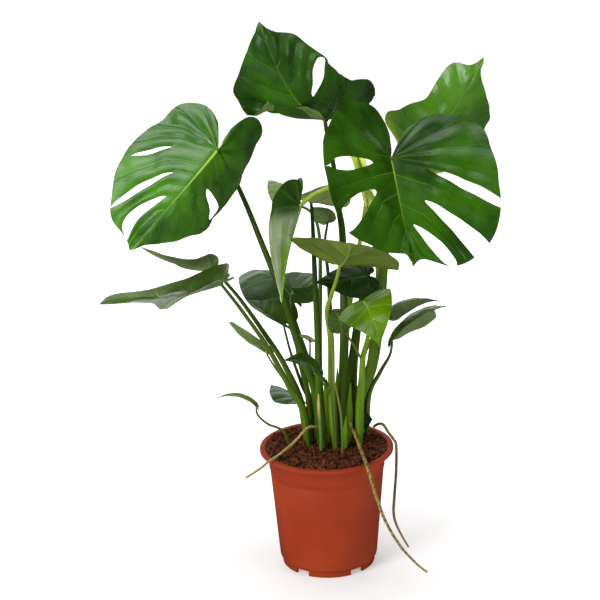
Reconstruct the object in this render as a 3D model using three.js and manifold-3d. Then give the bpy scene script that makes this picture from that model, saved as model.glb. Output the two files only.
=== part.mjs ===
// A Swiss cheese plant (Monstera deliciosa) in a round nursery pot.
// Millimetres, +Z up. The pot stands on z = 0; the plant faces -Y.
import * as THREE from 'three';
import { mergeVertices } from 'three/addons/utils/BufferGeometryUtils.js';
import Module from 'manifold-3d';

const wasm = await Module();
wasm.setup();

// ---------------------------------------------------------------- driving dimensions

const POT = {
  height: 194.4,
  rimRadius: 105,
  collarHeight: 5.5,
  rimTopWidth: 8.5,
  wall: 1.6,
  bodyRadiusLow: 77.3,
  bodyLowLevel: 14,
  taper: 0.084,
  bodyTopLevel: 187.5,
  ridgeLevel: 162,
  ridgeStep: 0.6,
  footRadius: 73.4,
  footHeight: 8.4,
  footWall: 4,
  floorThickness: 1.8,
  feet: 5,
  footNotchWidth: 22,
  drainRadius: 6,
  drainCircle: 56,
  segments: 36,
};

const SOIL = {
  gap: 0.3,
  edgeLevel: 187.5,
  crownRise: 4.5,
  lumpHeight: 1.1,
  rings: [70, 48, 24],
  segments: 32,
};

const SOCKET_CLEARANCE = 0.4;
const SOCKET_TOP = 200;
const BLADE_THICKNESS = 1.2;
// The midrib stands out under blades whose petiole ends at least this thick (radius).
const LEAST_RIB = 2.4;

// Directions of the side veins, in degrees from the midrib, from the sinus to the tip.
const SINUS_ANGLE = 166;
const WAIST_ANGLE = 78;
const TIP_ANGLE = 30;
// Share of the veins that leave the junction itself; the others leave the midrib.
const WAIST = 0.42;
const VEIN_BEND = 0.12;
// The last veins reach on past the midrib's end into the drip tip.
const DRIP_FROM = 0.88;
const CORNER_SHARE = 0.08;
const CORNER_ROUND = 0.3;

// Half outline of a young heart-shaped leaf, from the sinus to the tip: vein lengths
// as shares of the blade's length.
const HEART = [0.24, 0.32, 0.40, 0.46, 0.49, 0.47, 0.41, 0.31, 0.20, 0.09, 0];

const GREEN_DARK = 0x2c5a1c;
const GREEN_MID = 0x3f7426;
const GREEN_LIGHT = 0x6f9a2e;
const GREEN_GREY = 0x5f7a50;

// Each leaf: junction of petiole and blade, tip, the way its upper face looks, arch
// and sway of the midrib and reach of the drip tip as shares of its length, fold and
// curl of the two halves in degrees (left, right), and the petiole's path and radii
// from the soil up. A slit is
// [place along the outline, inner end, outer end, half width, share open at its
// mouth, drift], in shares of the outline and of the vein's length.
const LEAVES = [
  {
    name: 'leaf_left_large', color: GREEN_MID, columns: 9, rows: 4,
    junction: [-151, -20, 678], tip: [-273, -153, 570], facing: [0.21, -0.96, 0.18],
    arch: 0.04, fold: [-30, -29], curl: [-31, -12], sinus: [190, 150],
    left: [0.3, 0.58, 0.5, 0.49, 0.56, 0.55, 0.43, 0.33, 0.22, 0.1, 0], drip: 0.03,
    right: [0.38, 0.48, 0.52, 0.49, 0.53, 0.57, 0.54, 0.46, 0.36, 0.17, 0],
    slits: {
      left: [[0.524, 0.32, 0.947, 0.036, 1, -0.145]],
      right: [
        [0.463, 0.52, 0.918, 0.014, 0.05, 0.16],
        [0.584, 0.29, 1, 0.022, 0.1, 0.24],
        [0.712, 0.19, 1, 0.05, 0.2, 0.25],
      ],
    },
    petiole: [[-12, 4, 150], [-12, 12, 266], [-35, 3, 345], [-60, 0, 436], [-92, 26, 520],
      [-123, 57, 595]],
    radii: [7.5, 6.5, 4.5, 3],
  },
  {
    name: 'leaf_top_large', color: GREEN_DARK, columns: 11, rows: 4,
    junction: [9, 32, 707], tip: [-82, -70, 870], facing: [-0.37, -0.71, 0.6],
    arch: 0.19, sway: -0.045, fold: [-40, -35], curl: [20, -7], sinus: [120, 165],
    rolledLobe: { side: 'left', line: 44, span: 20, turn: 172 },
    left: [0.16, 0.36, 0.46, 0.4, 0.45, 0.48, 0.51, 0.41, 0.29, 0.15, 0], drip: 0.02,
    right: [0.86, 0.6, 0.39, 0.34, 0.35, 0.38, 0.4, 0.37, 0.3, 0.14, 0],
    slits: { right: [[0.575, 0.29, 0.975, 0.06, 0.9, 0.026]] },
    petiole: [[22, 4, 150], [26, 8, 267], [31, 16, 380], [33, 64, 511], [27, 66, 567],
      [22, 62, 623], [12, 42, 683]],
    radii: [7, 6, 4, 2.8],
  },
  {
    name: 'leaf_front_right_large', color: GREEN_DARK, columns: 10, rows: 4,
    junction: [102, -80, 674], tip: [125, -186, 546], facing: [0.52, -0.73, 0.45],
    arch: 0.01, sway: 0.01, fold: [12, 12], curl: [8, 2], sinus: [150, 188],
    left: [0.4, 0.74, 0.95, 0.93, 0.94, 0.94, 0.88, 0.74, 0.53, 0.18, 0], drip: 0.03,
    right: [0.34, 0.54, 0.66, 0.73, 0.88, 0.92, 0.87, 0.64, 0.39, 0.13, 0],
    slits: {
      left: [
        [0.432, 0.34, 1, 0.026, 0.6, 0.085],
        [0.595, 0.29, 1, 0.047, 0.86, 0.12],
        [0.758, 0.16, 1, 0.038, 0.3, 0.06],
      ],
      right: [[0.444, 0.29, 0.94, 0.026, 0.3, -0.027], [0.565, 0.34, 1, 0.045, 0.6, 0.045]],
    },
    petiole: [[44, 28, 150], [53, 28, 255], [74, 24, 316], [87, 8, 413], [95, -34, 537],
      [102, -66, 630]],
    radii: [8.5, 9, 6, 3.5],
  },
  {
    name: 'leaf_back_right_large', color: GREEN_MID, columns: 9, rows: 4,
    junction: [166, 64, 650], tip: [242, 18, 793], facing: [-0.08, -0.96, -0.27],
    arch: 0.12, sway: -0.01, fold: [-20, -40], curl: [-19, -5],
    left: [0.2, 0.34, 0.34, 0.52, 0.46, 0.4, 0.31, 0.33, 0.31, 0.13, 0], drip: 0.04,
    right: [0.35, 0.8, 0.76, 0.64, 0.61, 0.6, 0.51, 0.39, 0.25, 0.1, 0],
    petiole: [[36, 46, 150], [43, 46, 252], [51, 48, 352], [68, 52, 449], [99, 58, 543],
      [138, 66, 611]],
    radii: [6.5, 6, 4, 3],
  },
  {
    name: 'leaf_young_pale', color: GREEN_LIGHT,
    junction: [51, 37, 674], tip: [72, 70, 552], facing: [0.09, -0.93, -0.36],
    arch: 0.16, sway: -0.03, fold: [60, 64], curl: [14, 12],
    left: [0.1, 0.13, 0.16, 0.17, 0.18, 0.19, 0.2, 0.19, 0.15, 0.08, 0],
    right: [0.1, 0.14, 0.17, 0.19, 0.2, 0.2, 0.19, 0.17, 0.12, 0.06, 0],
    petiole: [[18, 50, 150], [32, 52, 250], [35, 50, 351], [45, 50, 434], [60, 54, 514],
      [70, 55, 585], [63, 48, 645]],
    radii: [5, 4.5, 3, 2],
  },
  {
    name: 'leaf_hanging', color: GREEN_GREY, columns: 7, petioleRings: 14,
    junction: [-32, -61, 601], tip: [-63, -109, 466], facing: [-0.68, -0.63, 0.38],
    arch: -0.02, sway: 0.06, fold: [90, -15], curl: [2, -33],
    width: [0.76, 0.9], rear: [1.4, 1.1],
    petiole: [[54, 52, 150], [72, 52, 306], [84, 42, 419], [87, 14, 524], [82, -4, 585],
      [61, -22, 618], [35, -34, 628], [10, -46, 622], [-14, -54, 614]],
    radii: [5.5, 4.5, 4, 3.6, 3.4, 3.2],
  },
  {
    name: 'leaf_canopy', color: GREEN_MID, columns: 7,
    junction: [24, -90, 516], tip: [38, -207, 584], facing: [0.22, 0.52, 0.83],
    arch: -0.04, sway: -0.02, fold: [23, 16], curl: [-22, -4],
    width: [1.3, 1.27], rear: [1.32, 0.9],
    petiole: [[16, -16, 150], [10, -14, 276], [10, -20, 376], [5, -36, 427], [11, -58, 459],
      [19, -77, 490]],
    radii: [6.5, 5, 3.2, 2.4],
    shoots: [
      {
        junction: [-10, -57, 337], tip: [-64, -110, 377], facing: [0.2, -0.35, 0.92],
        arch: 0.09, sway: 0.05, fold: [5, 20], curl: [-10, -10],
        width: [0.8, 0.55], rear: [0.9, 1.2],
        petiole: [[7, -14, 278], [2, -26, 299], [-5, -42, 317]], radii: [1.8, 1.6, 1.5],
      },
    ],
  },
  {
    name: 'leaf_centre_dark', color: GREEN_DARK,
    junction: [66, -13, 475], tip: [-15, -55, 480], facing: [0.32, -0.53, 0.78],
    arch: -0.02, fold: [-4, -9], curl: [-49, -22],
    width: [0.78, 0.74], rear: [0.8, 1.1],
    petiole: [[27, 36, 150], [34, 36, 256], [44, 30, 341], [54, 18, 411], [63, 2, 448]],
    radii: [5.5, 4.5, 3, 2.2],
  },
  {
    name: 'leafy_shoot_right', color: GREEN_LIGHT, columns: 7,
    junction: [59, -82, 457], tip: [80, -151, 407], facing: [-0.01, -0.58, 0.81],
    arch: 0.26, sway: 0.02, fold: [13, -26], curl: [12, 0],
    width: [1, 1.04], rear: [0.9, 1.2],
    petiole: [[52, -4, 150], [53, -8, 255], [57, -10, 306], [59, -16, 346], [66, -38, 387],
      [66, -64, 430]],
    radii: [7, 5.5, 3, 2],
    shoots: [
      {
        junction: [103, 12, 408], tip: [181, 9, 424], facing: [-0.27, -0.2, 0.94],
        arch: 0.11, sway: -0.04, fold: [4, -30], curl: [-37, 5],
        width: [0.37, 0.49], rear: [1, 0.65],
        petiole: [[59, -15, 341], [71, -18, 374], [86, -16, 395], [97, 2, 405]],
        radii: [2.2, 2, 1.8, 1.6],
      },
      {
        columns: 4, rows: 2,
        junction: [26, -52, 411], tip: [14, -41, 434], facing: [0, -0.5, 0.85],
        arch: 0.05, fold: [5, 5], curl: [-15, -15], width: [1.5, 1.5], rear: [1, 1],
        petiole: [[57, -15, 341], [44, -36, 373], [32, -48, 397]], radii: [2, 1.7, 1.5],
      },
      {
        columns: 4, rows: 2,
        junction: [47, 12, 231], tip: [74, 16, 230], facing: [0.1, -1, 0.1],
        arch: 0.18, fold: [5, 5], curl: [-15, -15], width: [1.3, 1.3], rear: [1.1, 1],
        petiole: [[51, -6, 218], [50, 2, 221], [49, 8, 226]], radii: [2, 1.8, 1.6],
      },
    ],
  },
  {
    name: 'leaf_right_lower', color: GREEN_GREY,
    junction: [105, 17, 368], tip: [185, -55, 438], facing: [-0.71, -0.12, 0.69],
    arch: 0.16, sway: 0.1, fold: [-17, -15], curl: [-35, -20],
    width: [1.24, 0.34], rear: [0.85, 0.85],
    petiole: [[66, 36, 150], [68, 36, 255], [87, 36, 300], [102, 34, 328], [106, 32, 347]],
    radii: [5, 3.5, 2.2, 1.8],
  },
  {
    name: 'leaf_left_upper', color: GREEN_GREY,
    junction: [-171, 52, 477], tip: [-280, 61, 509], facing: [0.28, 0.54, 0.79],
    arch: -0.1, sway: -0.01, fold: [9, 17], curl: [22, -25],
    left: [0.08, 0.1, 0.15, 0.27, 0.34, 0.22, 0.19, 0.18, 0.16, 0.1, 0],
    right: [0.08, 0.08, 0.1, 0.2, 0.4, 0.39, 0.28, 0.14, 0.08, 0.06, 0],
    petiole: [[-32, 22, 150], [-36, 26, 245], [-62, 30, 318], [-96, 36, 376],
      [-129, 42, 426], [-156, 48, 459]],
    radii: [6, 4.5, 3, 2.2],
    shoots: [
      {
        columns: 4, rows: 2,
        junction: [-41, 46, 256], tip: [-87, 93, 263], facing: [0.14, -0.04, 0.99],
        arch: 0.04, sway: 0.05, fold: [17, -32], curl: [-31, -18],
        width: [1.37, 0.61], rear: [0.6, 1],
        petiole: [[-34, 26, 236], [-35, 35, 243], [-38, 41, 251]], radii: [2, 1.8, 1.6],
      },
    ],
  },
  {
    name: 'leaf_left_long', color: GREEN_GREY, columns: 7,
    junction: [-155, -26, 473], tip: [-339, 1, 437], facing: [-0.18, 0.09, 0.98],
    arch: -0.08, sway: 0.21, fold: [8, 43], curl: [-22, -27],
    left: [0.3, 0.36, 0.38, 0.4, 0.5, 0.46, 0.4, 0.27, 0.17, 0.09, 0], drip: 0.02,
    right: [0.1, 0.1, 0.1, 0.13, 0.22, 0.22, 0.17, 0.14, 0.14, 0.13, 0],
    petiole: [[-26, 0, 150], [-33, 0, 246], [-55, -2, 293], [-87, -8, 362],
      [-120, -14, 418], [-145, -20, 457]],
    radii: [6, 4.5, 3, 2.2],
    shoots: [
      {
        junction: [-90, -1, 356], tip: [-143, -54, 421], facing: [0.79, -0.05, 0.61],
        arch: -0.1, sway: 0.13, fold: [-9, 5], curl: [25, -35],
        width: [0.22, 0.73], rear: [1, 0.6],
        petiole: [[-58, -3, 298], [-76, 2, 324], [-87, 2, 344]], radii: [1.8, 1.5, 1.4],
      },
    ],
  },
  {
    name: 'leaf_mid_broad', color: GREEN_GREY, columns: 7,
    junction: [-51, 90, 415], tip: [-133, 152, 427], facing: [0.23, 0.1, 0.97],
    arch: 0.24, sway: -0.08, fold: [-22, 1], curl: [-23, -21],
    width: [1.39, 0.7], rear: [0.7, 0.9],
    petiole: [[-20, 28, 150], [-26, 33, 258], [-38, 42, 319], [-45, 52, 361],
      [-50, 66, 395]],
    radii: [5, 4, 2.8, 2],
  },
  {
    name: 'leaf_mid_right', color: GREEN_GREY,
    junction: [-51, 136, 413], tip: [-9, 112, 426], facing: [-0.55, -0.64, 0.53],
    arch: -0.1, sway: 0.02, fold: [-21, -36], curl: [-11, -35],
    width: [1.51, 1.47], rear: [1.2, 0.8],
    petiole: [[8, 36, 150], [-11, 44, 254], [-24, 64, 311], [-42, 92, 364],
      [-53, 126, 394]],
    radii: [4.5, 3.5, 2.4, 1.8],
  },
  {
    name: 'leaf_mid_narrow', color: GREEN_GREY,
    junction: [-63, 31, 390], tip: [-120, 62, 418], facing: [-0.02, -0.67, 0.74],
    arch: 0.2, sway: -0.07, fold: [44, 2], curl: [24, 8],
    width: [0.93, 0.71], rear: [0.9, 1],
    petiole: [[-14, 44, 150], [-24, 46, 245], [-36, 43, 281], [-51, 39, 331],
      [-59, 37, 367]],
    radii: [4, 3, 2, 1.6],
  },
  {
    name: 'leaf_centre_back', color: GREEN_GREY,
    junction: [-15, 34, 581], tip: [40, -13, 621], facing: [-0.28, 0.4, 0.87],
    arch: -0.08, sway: 0.07, fold: [-12, 38], curl: [-10, -42],
    width: [1.35, 1.32], rear: [0.77, 0.77],
    petiole: [[0, -12, 150], [-10, -10, 275], [-10, -4, 371], [-12, 8, 464],
      [-13, 22, 532], [-14, 31, 566]],
    radii: [6, 5, 3.2, 2.2],
  },
  {
    name: 'leaf_centre_far', color: GREEN_LIGHT,
    junction: [-47, 86, 565], tip: [-81, 129, 594], facing: [0.33, -0.33, 0.89],
    arch: 0.19, sway: -0.13, fold: [-19, 12], curl: [-15, -9],
    width: [0.83, 0.63], rear: [1, 1],
    petiole: [[2, 54, 150], [-6, 60, 256], [-6, 66, 347], [-3, 78, 442], [-3, 90, 513],
      [-13, 98, 545], [-32, 100, 558]],
    radii: [4.5, 3.5, 2.4, 1.8],
  },
  {
    name: 'leaf_centre_small', color: GREEN_MID,
    junction: [11, 76, 539], tip: [-15, 35, 572], facing: [0.2, 0.52, 0.83],
    arch: 0.1, sway: -0.11, fold: [21, 12], curl: [4, -1],
    width: [0.46, 1.02], rear: [0.65, 0.8],
    petiole: [[12, 22, 150], [9, 24, 269], [11, 34, 374], [9, 48, 460], [5, 60, 505]],
    radii: [5, 4, 2.6, 1.8],
  },
  {
    name: 'leaf_low_thin', color: GREEN_MID, columns: 5, rows: 2,
    junction: [-108, -21, 271], tip: [-169, -63, 301], facing: [0.57, -0.3, 0.77],
    arch: 0.1, sway: 0.1, fold: [20, 0], curl: [0, 10],
    width: [0.25, 0.25], rear: [1, 1],
    petiole: [[-52, 16, 160], [-65, 0, 217], [-91, -8, 236], [-106, -14, 254]],
    radii: [2.5, 2, 1.7, 1.4],
  },
  {
    name: 'leaf_low_pale', color: GREEN_GREY, columns: 4, rows: 2,
    junction: [-22, 24, 362], tip: [-45, 20, 369], facing: [0.09, 0.41, 0.9],
    arch: 0.12, fold: [15, 2], curl: [-8, -9],
    width: [0.96, 0.97], rear: [1.1, 1],
    petiole: [[-6, 30, 150], [-19, 24, 270], [-23, 23, 321], [-22, 23, 346]],
    radii: [3, 2.4, 1.6, 1.3],
  },
];

// Aerial roots and dry sheaths: paths from their foot to their tip.
const ROOT_COLOR = 0x8a7a3a;
const ROOTS = [
  {
    name: 'aerial_root_left', color: 0xb3a35a, rings: 14,
    path: [[-13, -6, 228], [-29, -16, 231], [-49, -30, 215], [-72, -50, 203],
      [-91, -68, 197.5], [-103, -82, 193], [-125, -105, 188]],
    radii: [2.4, 2.2, 2, 1.6],
  },
  {
    name: 'aerial_root_front', color: ROOT_COLOR, rings: 20,
    path: [[38, 4, 231], [41, -7, 224], [47, -22, 213], [54, -60, 203], [61, -104, 196],
      [71, -122, 162], [85, -122, 119], [107, -120, 76], [130, -125, 49], [148, -130, 34]],
    radii: [2.8, 2.8, 2.6, 2.2, 1.4],
  },
  {
    name: 'aerial_root_right', color: 0x5a4a28, rings: 20,
    path: [[76, 32, 211], [84, 28, 217], [91, 20, 218], [98, 11, 209], [105, 4, 201],
      [109.5, -2, 191], [109, -4, 150], [106, -6, 110], [104, -10, 82], [107, -14, 64],
      [116, -24, 46], [126, -30, 29]],
    radii: [2.2, 2.3, 2.2, 2.1, 1.4],
  },
];
const SHEATHS = [
  {
    name: 'dry_sheath_left', color: 0xa58a58,
    path: [[-9, -26, 150], [-9, -24, 222], [-11, -23, 265], [-11, -22, 289]],
    radii: [2.8, 2.6, 2.4, 0.9],
  },
  {
    name: 'dry_sheath_right', color: 0x8a7a48,
    path: [[24, -32, 150], [24, -31, 236], [20, -31, 279], [13, -32, 315]],
    radii: [2, 1.8, 1.5, 0.7],
  },
];

// ---------------------------------------------------------------- solids

const radians = THREE.MathUtils.degToRad;
const clamp = THREE.MathUtils.clamp;
const vector = (xyz) => new THREE.Vector3(...xyz);

function solidOf(geometry) {
  const bare = geometry.clone();
  bare.deleteAttribute('normal');
  bare.deleteAttribute('uv');
  const merged = mergeVertices(bare, 1e-4);
  const corners = merged.index.array;
  const triangles = [];
  for (let i = 0; i < corners.length; i += 3) {
    const [a, b, c] = [corners[i], corners[i + 1], corners[i + 2]];
    if (a !== b && b !== c && c !== a) triangles.push(a, b, c);
  }
  const mesh = new wasm.Mesh({
    numProp: 3,
    vertProperties: new Float32Array(merged.attributes.position.array),
    triVerts: new Uint32Array(triangles),
  });
  return new wasm.Manifold(mesh);
}

function geometryOf(solid) {
  const mesh = solid.getMesh();
  const geometry = new THREE.BufferGeometry();
  geometry.setAttribute('position', new THREE.BufferAttribute(mesh.vertProperties, 3));
  geometry.setIndex(new THREE.BufferAttribute(mesh.triVerts, 1));
  geometry.computeVertexNormals();
  return geometry;
}

function indexedGeometry(points, triangles) {
  const geometry = new THREE.BufferGeometry();
  geometry.setAttribute('position', new THREE.Float32BufferAttribute(points.flat(), 3));
  geometry.setIndex(triangles);
  return geometry;
}

// Value at share t of an evenly spaced list, smoothly.
function valueAlong(values, t) {
  const last = values.length - 1;
  const x = clamp(t, 0, 1) * last;
  const i = Math.min(Math.floor(x), last - 1);
  const f = x - i;
  const before = i > 0 ? values[i - 1] : 2 * values[0] - values[1];
  const after = i + 2 <= last ? values[i + 2] : 2 * values[last] - values[last - 1];
  const [a, b] = [values[i], values[i + 1]];
  const cubic = 3 * (a - b) + after - before;
  return a + 0.5 * f * (b - before + f * (2 * before - 5 * a + 4 * b - after + f * cubic));
}

// Rings of a tapered round stem along a smooth path, without twist.
function stemRings(path, radii, sides, count) {
  const curve = new THREE.CatmullRomCurve3(path.map(vector), false, 'catmullrom', 0.5);
  const rings = [];
  let side = new THREE.Vector3(0.3, 1, 0.1);
  for (let i = 0; i <= count; i++) {
    const t = i / count;
    const centre = curve.getPoint(t);
    const along = curve.getTangent(t);
    side = side.clone().addScaledVector(along, -side.dot(along)).normalize();
    const other = new THREE.Vector3().crossVectors(along, side);
    rings.push({ centre, along, side, other, radius: valueAlong(radii, t), sides });
  }
  return rings;
}

function stemSolid(rings, growth = 0) {
  const points = [];
  const triangles = [];
  const sides = rings[0].sides;
  for (const ring of rings) {
    for (let k = 0; k < sides; k++) {
      const angle = (2 * Math.PI * k) / sides;
      const radius = ring.radius + growth;
      const place = ring.centre.clone()
        .addScaledVector(ring.side, radius * Math.cos(angle))
        .addScaledVector(ring.other, radius * Math.sin(angle));
      points.push(place.toArray());
    }
  }
  for (let i = 0; i + 1 < rings.length; i++) {
    for (let k = 0; k < sides; k++) {
      const [a, b] = [i * sides + k, i * sides + ((k + 1) % sides)];
      triangles.push(a, b, b + sides, a, b + sides, a + sides);
    }
  }
  const top = points.length - sides;
  for (let k = 1; k + 1 < sides; k++) {
    triangles.push(0, k + 1, k, top, top + k, top + k + 1);
  }
  return solidOf(indexedGeometry(points, triangles));
}

// The plain hole in the soil that a stem stands in.
function socketSolid(rings) {
  const top = rings.findIndex((ring) => ring.centre.z > SOCKET_TOP);
  const low = { ...rings[0] };
  low.centre = low.centre.clone().addScaledVector(low.along, -SOCKET_CLEARANCE);
  return stemSolid([low, ...rings.slice(1, top + 1)], SOCKET_CLEARANCE);
}

// ---------------------------------------------------------------- leaf blades

// A vein's start along the midrib and its direction, at share t of the outline.
function vein(leaf, sideIndex, t) {
  const sinus = leaf.sinus ? leaf.sinus[sideIndex] : SINUS_ANGLE;
  if (t < WAIST) {
    return { start: 0, angle: radians(sinus + ((WAIST_ANGLE - sinus) * t) / WAIST) };
  }
  const start = clamp((t - WAIST) / (1 - WAIST), 0, 1);
  const beyond = (leaf.drip ?? 0) * clamp((t - DRIP_FROM) / (1 - DRIP_FROM), 0, 1) ** 2;
  const angle = radians(WAIST_ANGLE + (TIP_ANGLE - WAIST_ANGLE) * start);
  return { start: start + beyond, angle };
}

function outlineOf(leaf, sideIndex) {
  const given = sideIndex === 0 ? leaf.left : leaf.right;
  if (given) return given;
  const [width, rear] = [leaf.width[sideIndex], leaf.rear[sideIndex]];
  return HEART.map((share, i) => share * width * (1 + (rear - 1) * Math.max(1 - i / 4, 0)));
}

// Length of the vein at share t of the outline; the corners at the sinus are round.
function veinLength(outline, t) {
  const corner = 1 - Math.min(t / CORNER_SHARE, 1);
  return valueAlong(outline, t) * (1 - CORNER_ROUND * corner * corner);
}

// Length and frame of a leaf: chord, upper normal and side direction.
function leafFrame(leaf) {
  const junction = vector(leaf.junction);
  const chord = vector(leaf.tip).sub(junction);
  const length = chord.length();
  const along = chord.clone().normalize();
  const up = vector(leaf.facing);
  up.addScaledVector(along, -up.dot(along)).normalize();
  const side = new THREE.Vector3().crossVectors(along, up);
  return { junction, chord, length, up, side };
}

// Place and frame on the arched midrib at share s of its length.
function midrib(leaf, frame, s) {
  const bow = frame.up.clone().multiplyScalar((leaf.arch ?? 0) * frame.length)
    .addScaledVector(frame.side, (leaf.sway ?? 0) * frame.length);
  const ahead = Math.max(s, 0);
  const slope = s < 0 ? 4 : 4 - 8 * s;
  const heading = frame.chord.clone().addScaledVector(bow, slope);
  const place = frame.junction.clone().addScaledVector(frame.chord, ahead)
    .addScaledVector(bow, 4 * ahead * (1 - ahead))
    .addScaledVector(heading, Math.min(s, 0));
  const along = heading.normalize();
  const up = frame.up.clone().addScaledVector(along, -along.dot(frame.up)).normalize();
  const side = new THREE.Vector3().crossVectors(along, up);
  return { place, along, up, side };
}

// Place in space of the flat point u along and v beside the midrib: each half is
// folded about the midrib and curled to an arc.
function foldedPoint(leaf, frame, sideIndex, u, v) {
  const rib = midrib(leaf, frame, u / frame.length);
  const fold = radians(leaf.fold[sideIndex]);
  const bend = radians(leaf.curl[sideIndex] || 1e-3) / (0.5 * frame.length);
  const beside = (Math.sin(fold + bend * v) - Math.sin(fold)) / bend;
  const above = (Math.cos(fold) - Math.cos(fold + bend * v)) / bend;
  const sign = sideIndex === 0 ? -1 : 1;
  return rib.place.addScaledVector(rib.side, sign * beside).addScaledVector(rib.up, above);
}

// A rolled rear lobe turns up over the blade about a straight line from the junction.
function rolledPoint(leaf, frame, sideIndex, u, v) {
  const point = foldedPoint(leaf, frame, sideIndex, u, v);
  const lobe = leaf.rolledLobe;
  if (!lobe || (lobe.side === 'left') !== (sideIndex === 0)) return point;
  const line = radians(lobe.line);
  const reach = 0.5 * frame.length;
  const far = foldedPoint(leaf, frame, sideIndex, reach * Math.cos(line), reach * Math.sin(line));
  const axis = far.sub(frame.junction).normalize();
  const share = clamp((Math.atan2(v, u) - line) / radians(lobe.span), 0, 1);
  const turn = radians(lobe.turn) * share * share * (3 - 2 * share);
  const sign = sideIndex === 0 ? 1 : -1;
  return point.sub(frame.junction).applyAxisAngle(axis, sign * turn).add(frame.junction);
}

function slitCentre([at, from, , , , drift], rho) {
  return at + drift * Math.max(rho - from, 0);
}

function slitHalfWidth([, from, to, width, mouth], rho) {
  const closed = to < 1 && rho >= to;
  if (rho <= from || closed) return 0;
  const x = clamp((rho - from) / (to - from), 0, 1);
  const end = to < 1 ? Math.sqrt(1 - x ** 8) : 1;
  return width * end * ((1 - mouth) * Math.sin(Math.PI * x) ** 0.6 + mouth * Math.sqrt(x));
}

// Rows of points across a half blade: the ends of its slits, and others well between.
function rowLevels(slits, rows) {
  const levels = [0, 1];
  for (const [, from, to] of slits) levels.push(from, to);
  const others = slits.map(([, from, to]) => from + 0.14 * (to - from));
  for (const [, from, to] of slits) if (to < 1) others.push(from + 0.88 * (to - from));
  for (let i = 1; i < rows; i++) others.push(i / rows);
  for (const other of others) {
    if (levels.every((level) => Math.abs(level - other) > 0.06)) levels.push(other);
  }
  return [...new Set(levels)].sort((a, b) => a - b);
}

// Middle surface of a blade: fingers between slits, split alike on both faces.
function bladeSurface(leaf, frame) {
  const columns = leaf.columns ?? 6;
  const rows = leaf.rows ?? 3;
  const slits = [leaf.slits?.left ?? [], leaf.slits?.right ?? []];
  const cuts = [...new Set([0, ...slits.flat().map((slit) => slit[0]), 1])];
  cuts.sort((a, b) => a - b);
  const points = [];
  const triangles = [];
  const known = new Map();
  for (const sideIndex of [0, 1]) {
    const outline = outlineOf(leaf, sideIndex);
    const rhos = rowLevels(slits[sideIndex], rows);
    const cornerAt = (t, rho) => {
      const { start, angle } = vein(leaf, sideIndex, t);
      const q = veinLength(outline, t) * frame.length * rho;
      const u = start * frame.length + q * Math.cos(angle) + (VEIN_BEND * q * q) / frame.length;
      const v = q * Math.sin(angle);
      const key = `${u.toFixed(2)},${(sideIndex === 0 ? -v : v).toFixed(2)}`;
      if (!known.has(key)) {
        known.set(key, points.length);
        points.push(rolledPoint(leaf, frame, sideIndex, u, v));
      }
      return known.get(key);
    };
    const slitAt = (at) => slits[sideIndex].find((slit) => slit[0] === at);
    for (let k = 0; k + 1 < cuts.length; k++) {
      const steps = Math.max(1, Math.round(columns * (cuts[k + 1] - cuts[k])));
      const [before, after] = [slitAt(cuts[k]), slitAt(cuts[k + 1])];
      const grid = rhos.map((rho) => {
        const low = before ? slitCentre(before, rho) + slitHalfWidth(before, rho) : cuts[k];
        const high = after ? slitCentre(after, rho) - slitHalfWidth(after, rho) : cuts[k + 1];
        const row = [];
        for (let i = 0; i <= steps; i++) row.push(cornerAt(low + ((high - low) * i) / steps, rho));
        return row;
      });
      for (let i = 0; i + 1 < grid.length; i++) {
        for (let j = 0; j < steps; j++) {
          const [a, b, c, d] = [grid[i][j], grid[i][j + 1], grid[i + 1][j + 1], grid[i + 1][j]];
          for (const triangle of [[a, b, c], [a, c, d]]) {
            if (new Set(triangle).size < 3) continue;
            triangles.push(sideIndex === 0 ? triangle : triangle.reverse());
          }
        }
      }
    }
  }
  return { points, triangles };
}

// A sheet thickened alike on both faces, with walls along its edges.
function sheetSolid({ points, triangles }, thickness) {
  const normals = points.map(() => new THREE.Vector3());
  const edges = new Map();
  for (const [a, b, c] of triangles) {
    const normal = new THREE.Vector3().subVectors(points[b], points[a])
      .cross(new THREE.Vector3().subVectors(points[c], points[a]));
    for (const corner of [a, b, c]) normals[corner].add(normal);
    for (const [from, to] of [[a, b], [b, c], [c, a]]) edges.set(`${from},${to}`, [from, to]);
  }
  const count = points.length;
  const offset = (sign) => points.map((point, i) =>
    point.clone().addScaledVector(normals[i].clone().normalize(), (sign * thickness) / 2).toArray());
  const faces = [];
  for (const [a, b, c] of triangles) faces.push(a, b, c, count + a, count + c, count + b);
  for (const [from, to] of edges.values()) {
    if (edges.has(`${to},${from}`)) continue;
    faces.push(from, count + from, count + to, from, count + to, to);
  }
  return solidOf(indexedGeometry([...offset(1), ...offset(-1)], faces));
}

// The raised midrib under the blade.
function ribSolid(leaf, frame, radius) {
  const path = [];
  const shares = [-0.02, 0.28, 0.58, 0.86];
  for (const share of shares) {
    const { place, up } = midrib(leaf, frame, share);
    path.push(place.addScaledVector(up, -0.45 * radius * (1 - 0.7 * share)).toArray());
  }
  return stemSolid(stemRings(path, [radius, 0.75 * radius, 0.45 * radius, 0.35], 5, 4));
}

function petioleRings(leaf) {
  const path = [...leaf.petiole, leaf.junction];
  const sides = leaf.radii[0] > 6.4 ? 8 : 6;
  return stemRings(path, leaf.radii, sides, leaf.petioleRings ?? path.length - 1);
}

function leafSolid(leaf) {
  const frame = leafFrame(leaf);
  const blade = sheetSolid(bladeSurface(leaf, frame), BLADE_THICKNESS);
  const ribRadius = leaf.radii.at(-1);
  let solid = blade.add(stemSolid(petioleRings(leaf)));
  if (ribRadius >= LEAST_RIB) solid = solid.add(ribSolid(leaf, frame, ribRadius));
  for (const shoot of leaf.shoots ?? []) solid = solid.add(leafSolid(shoot));
  return withoutHollows(solid);
}

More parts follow.
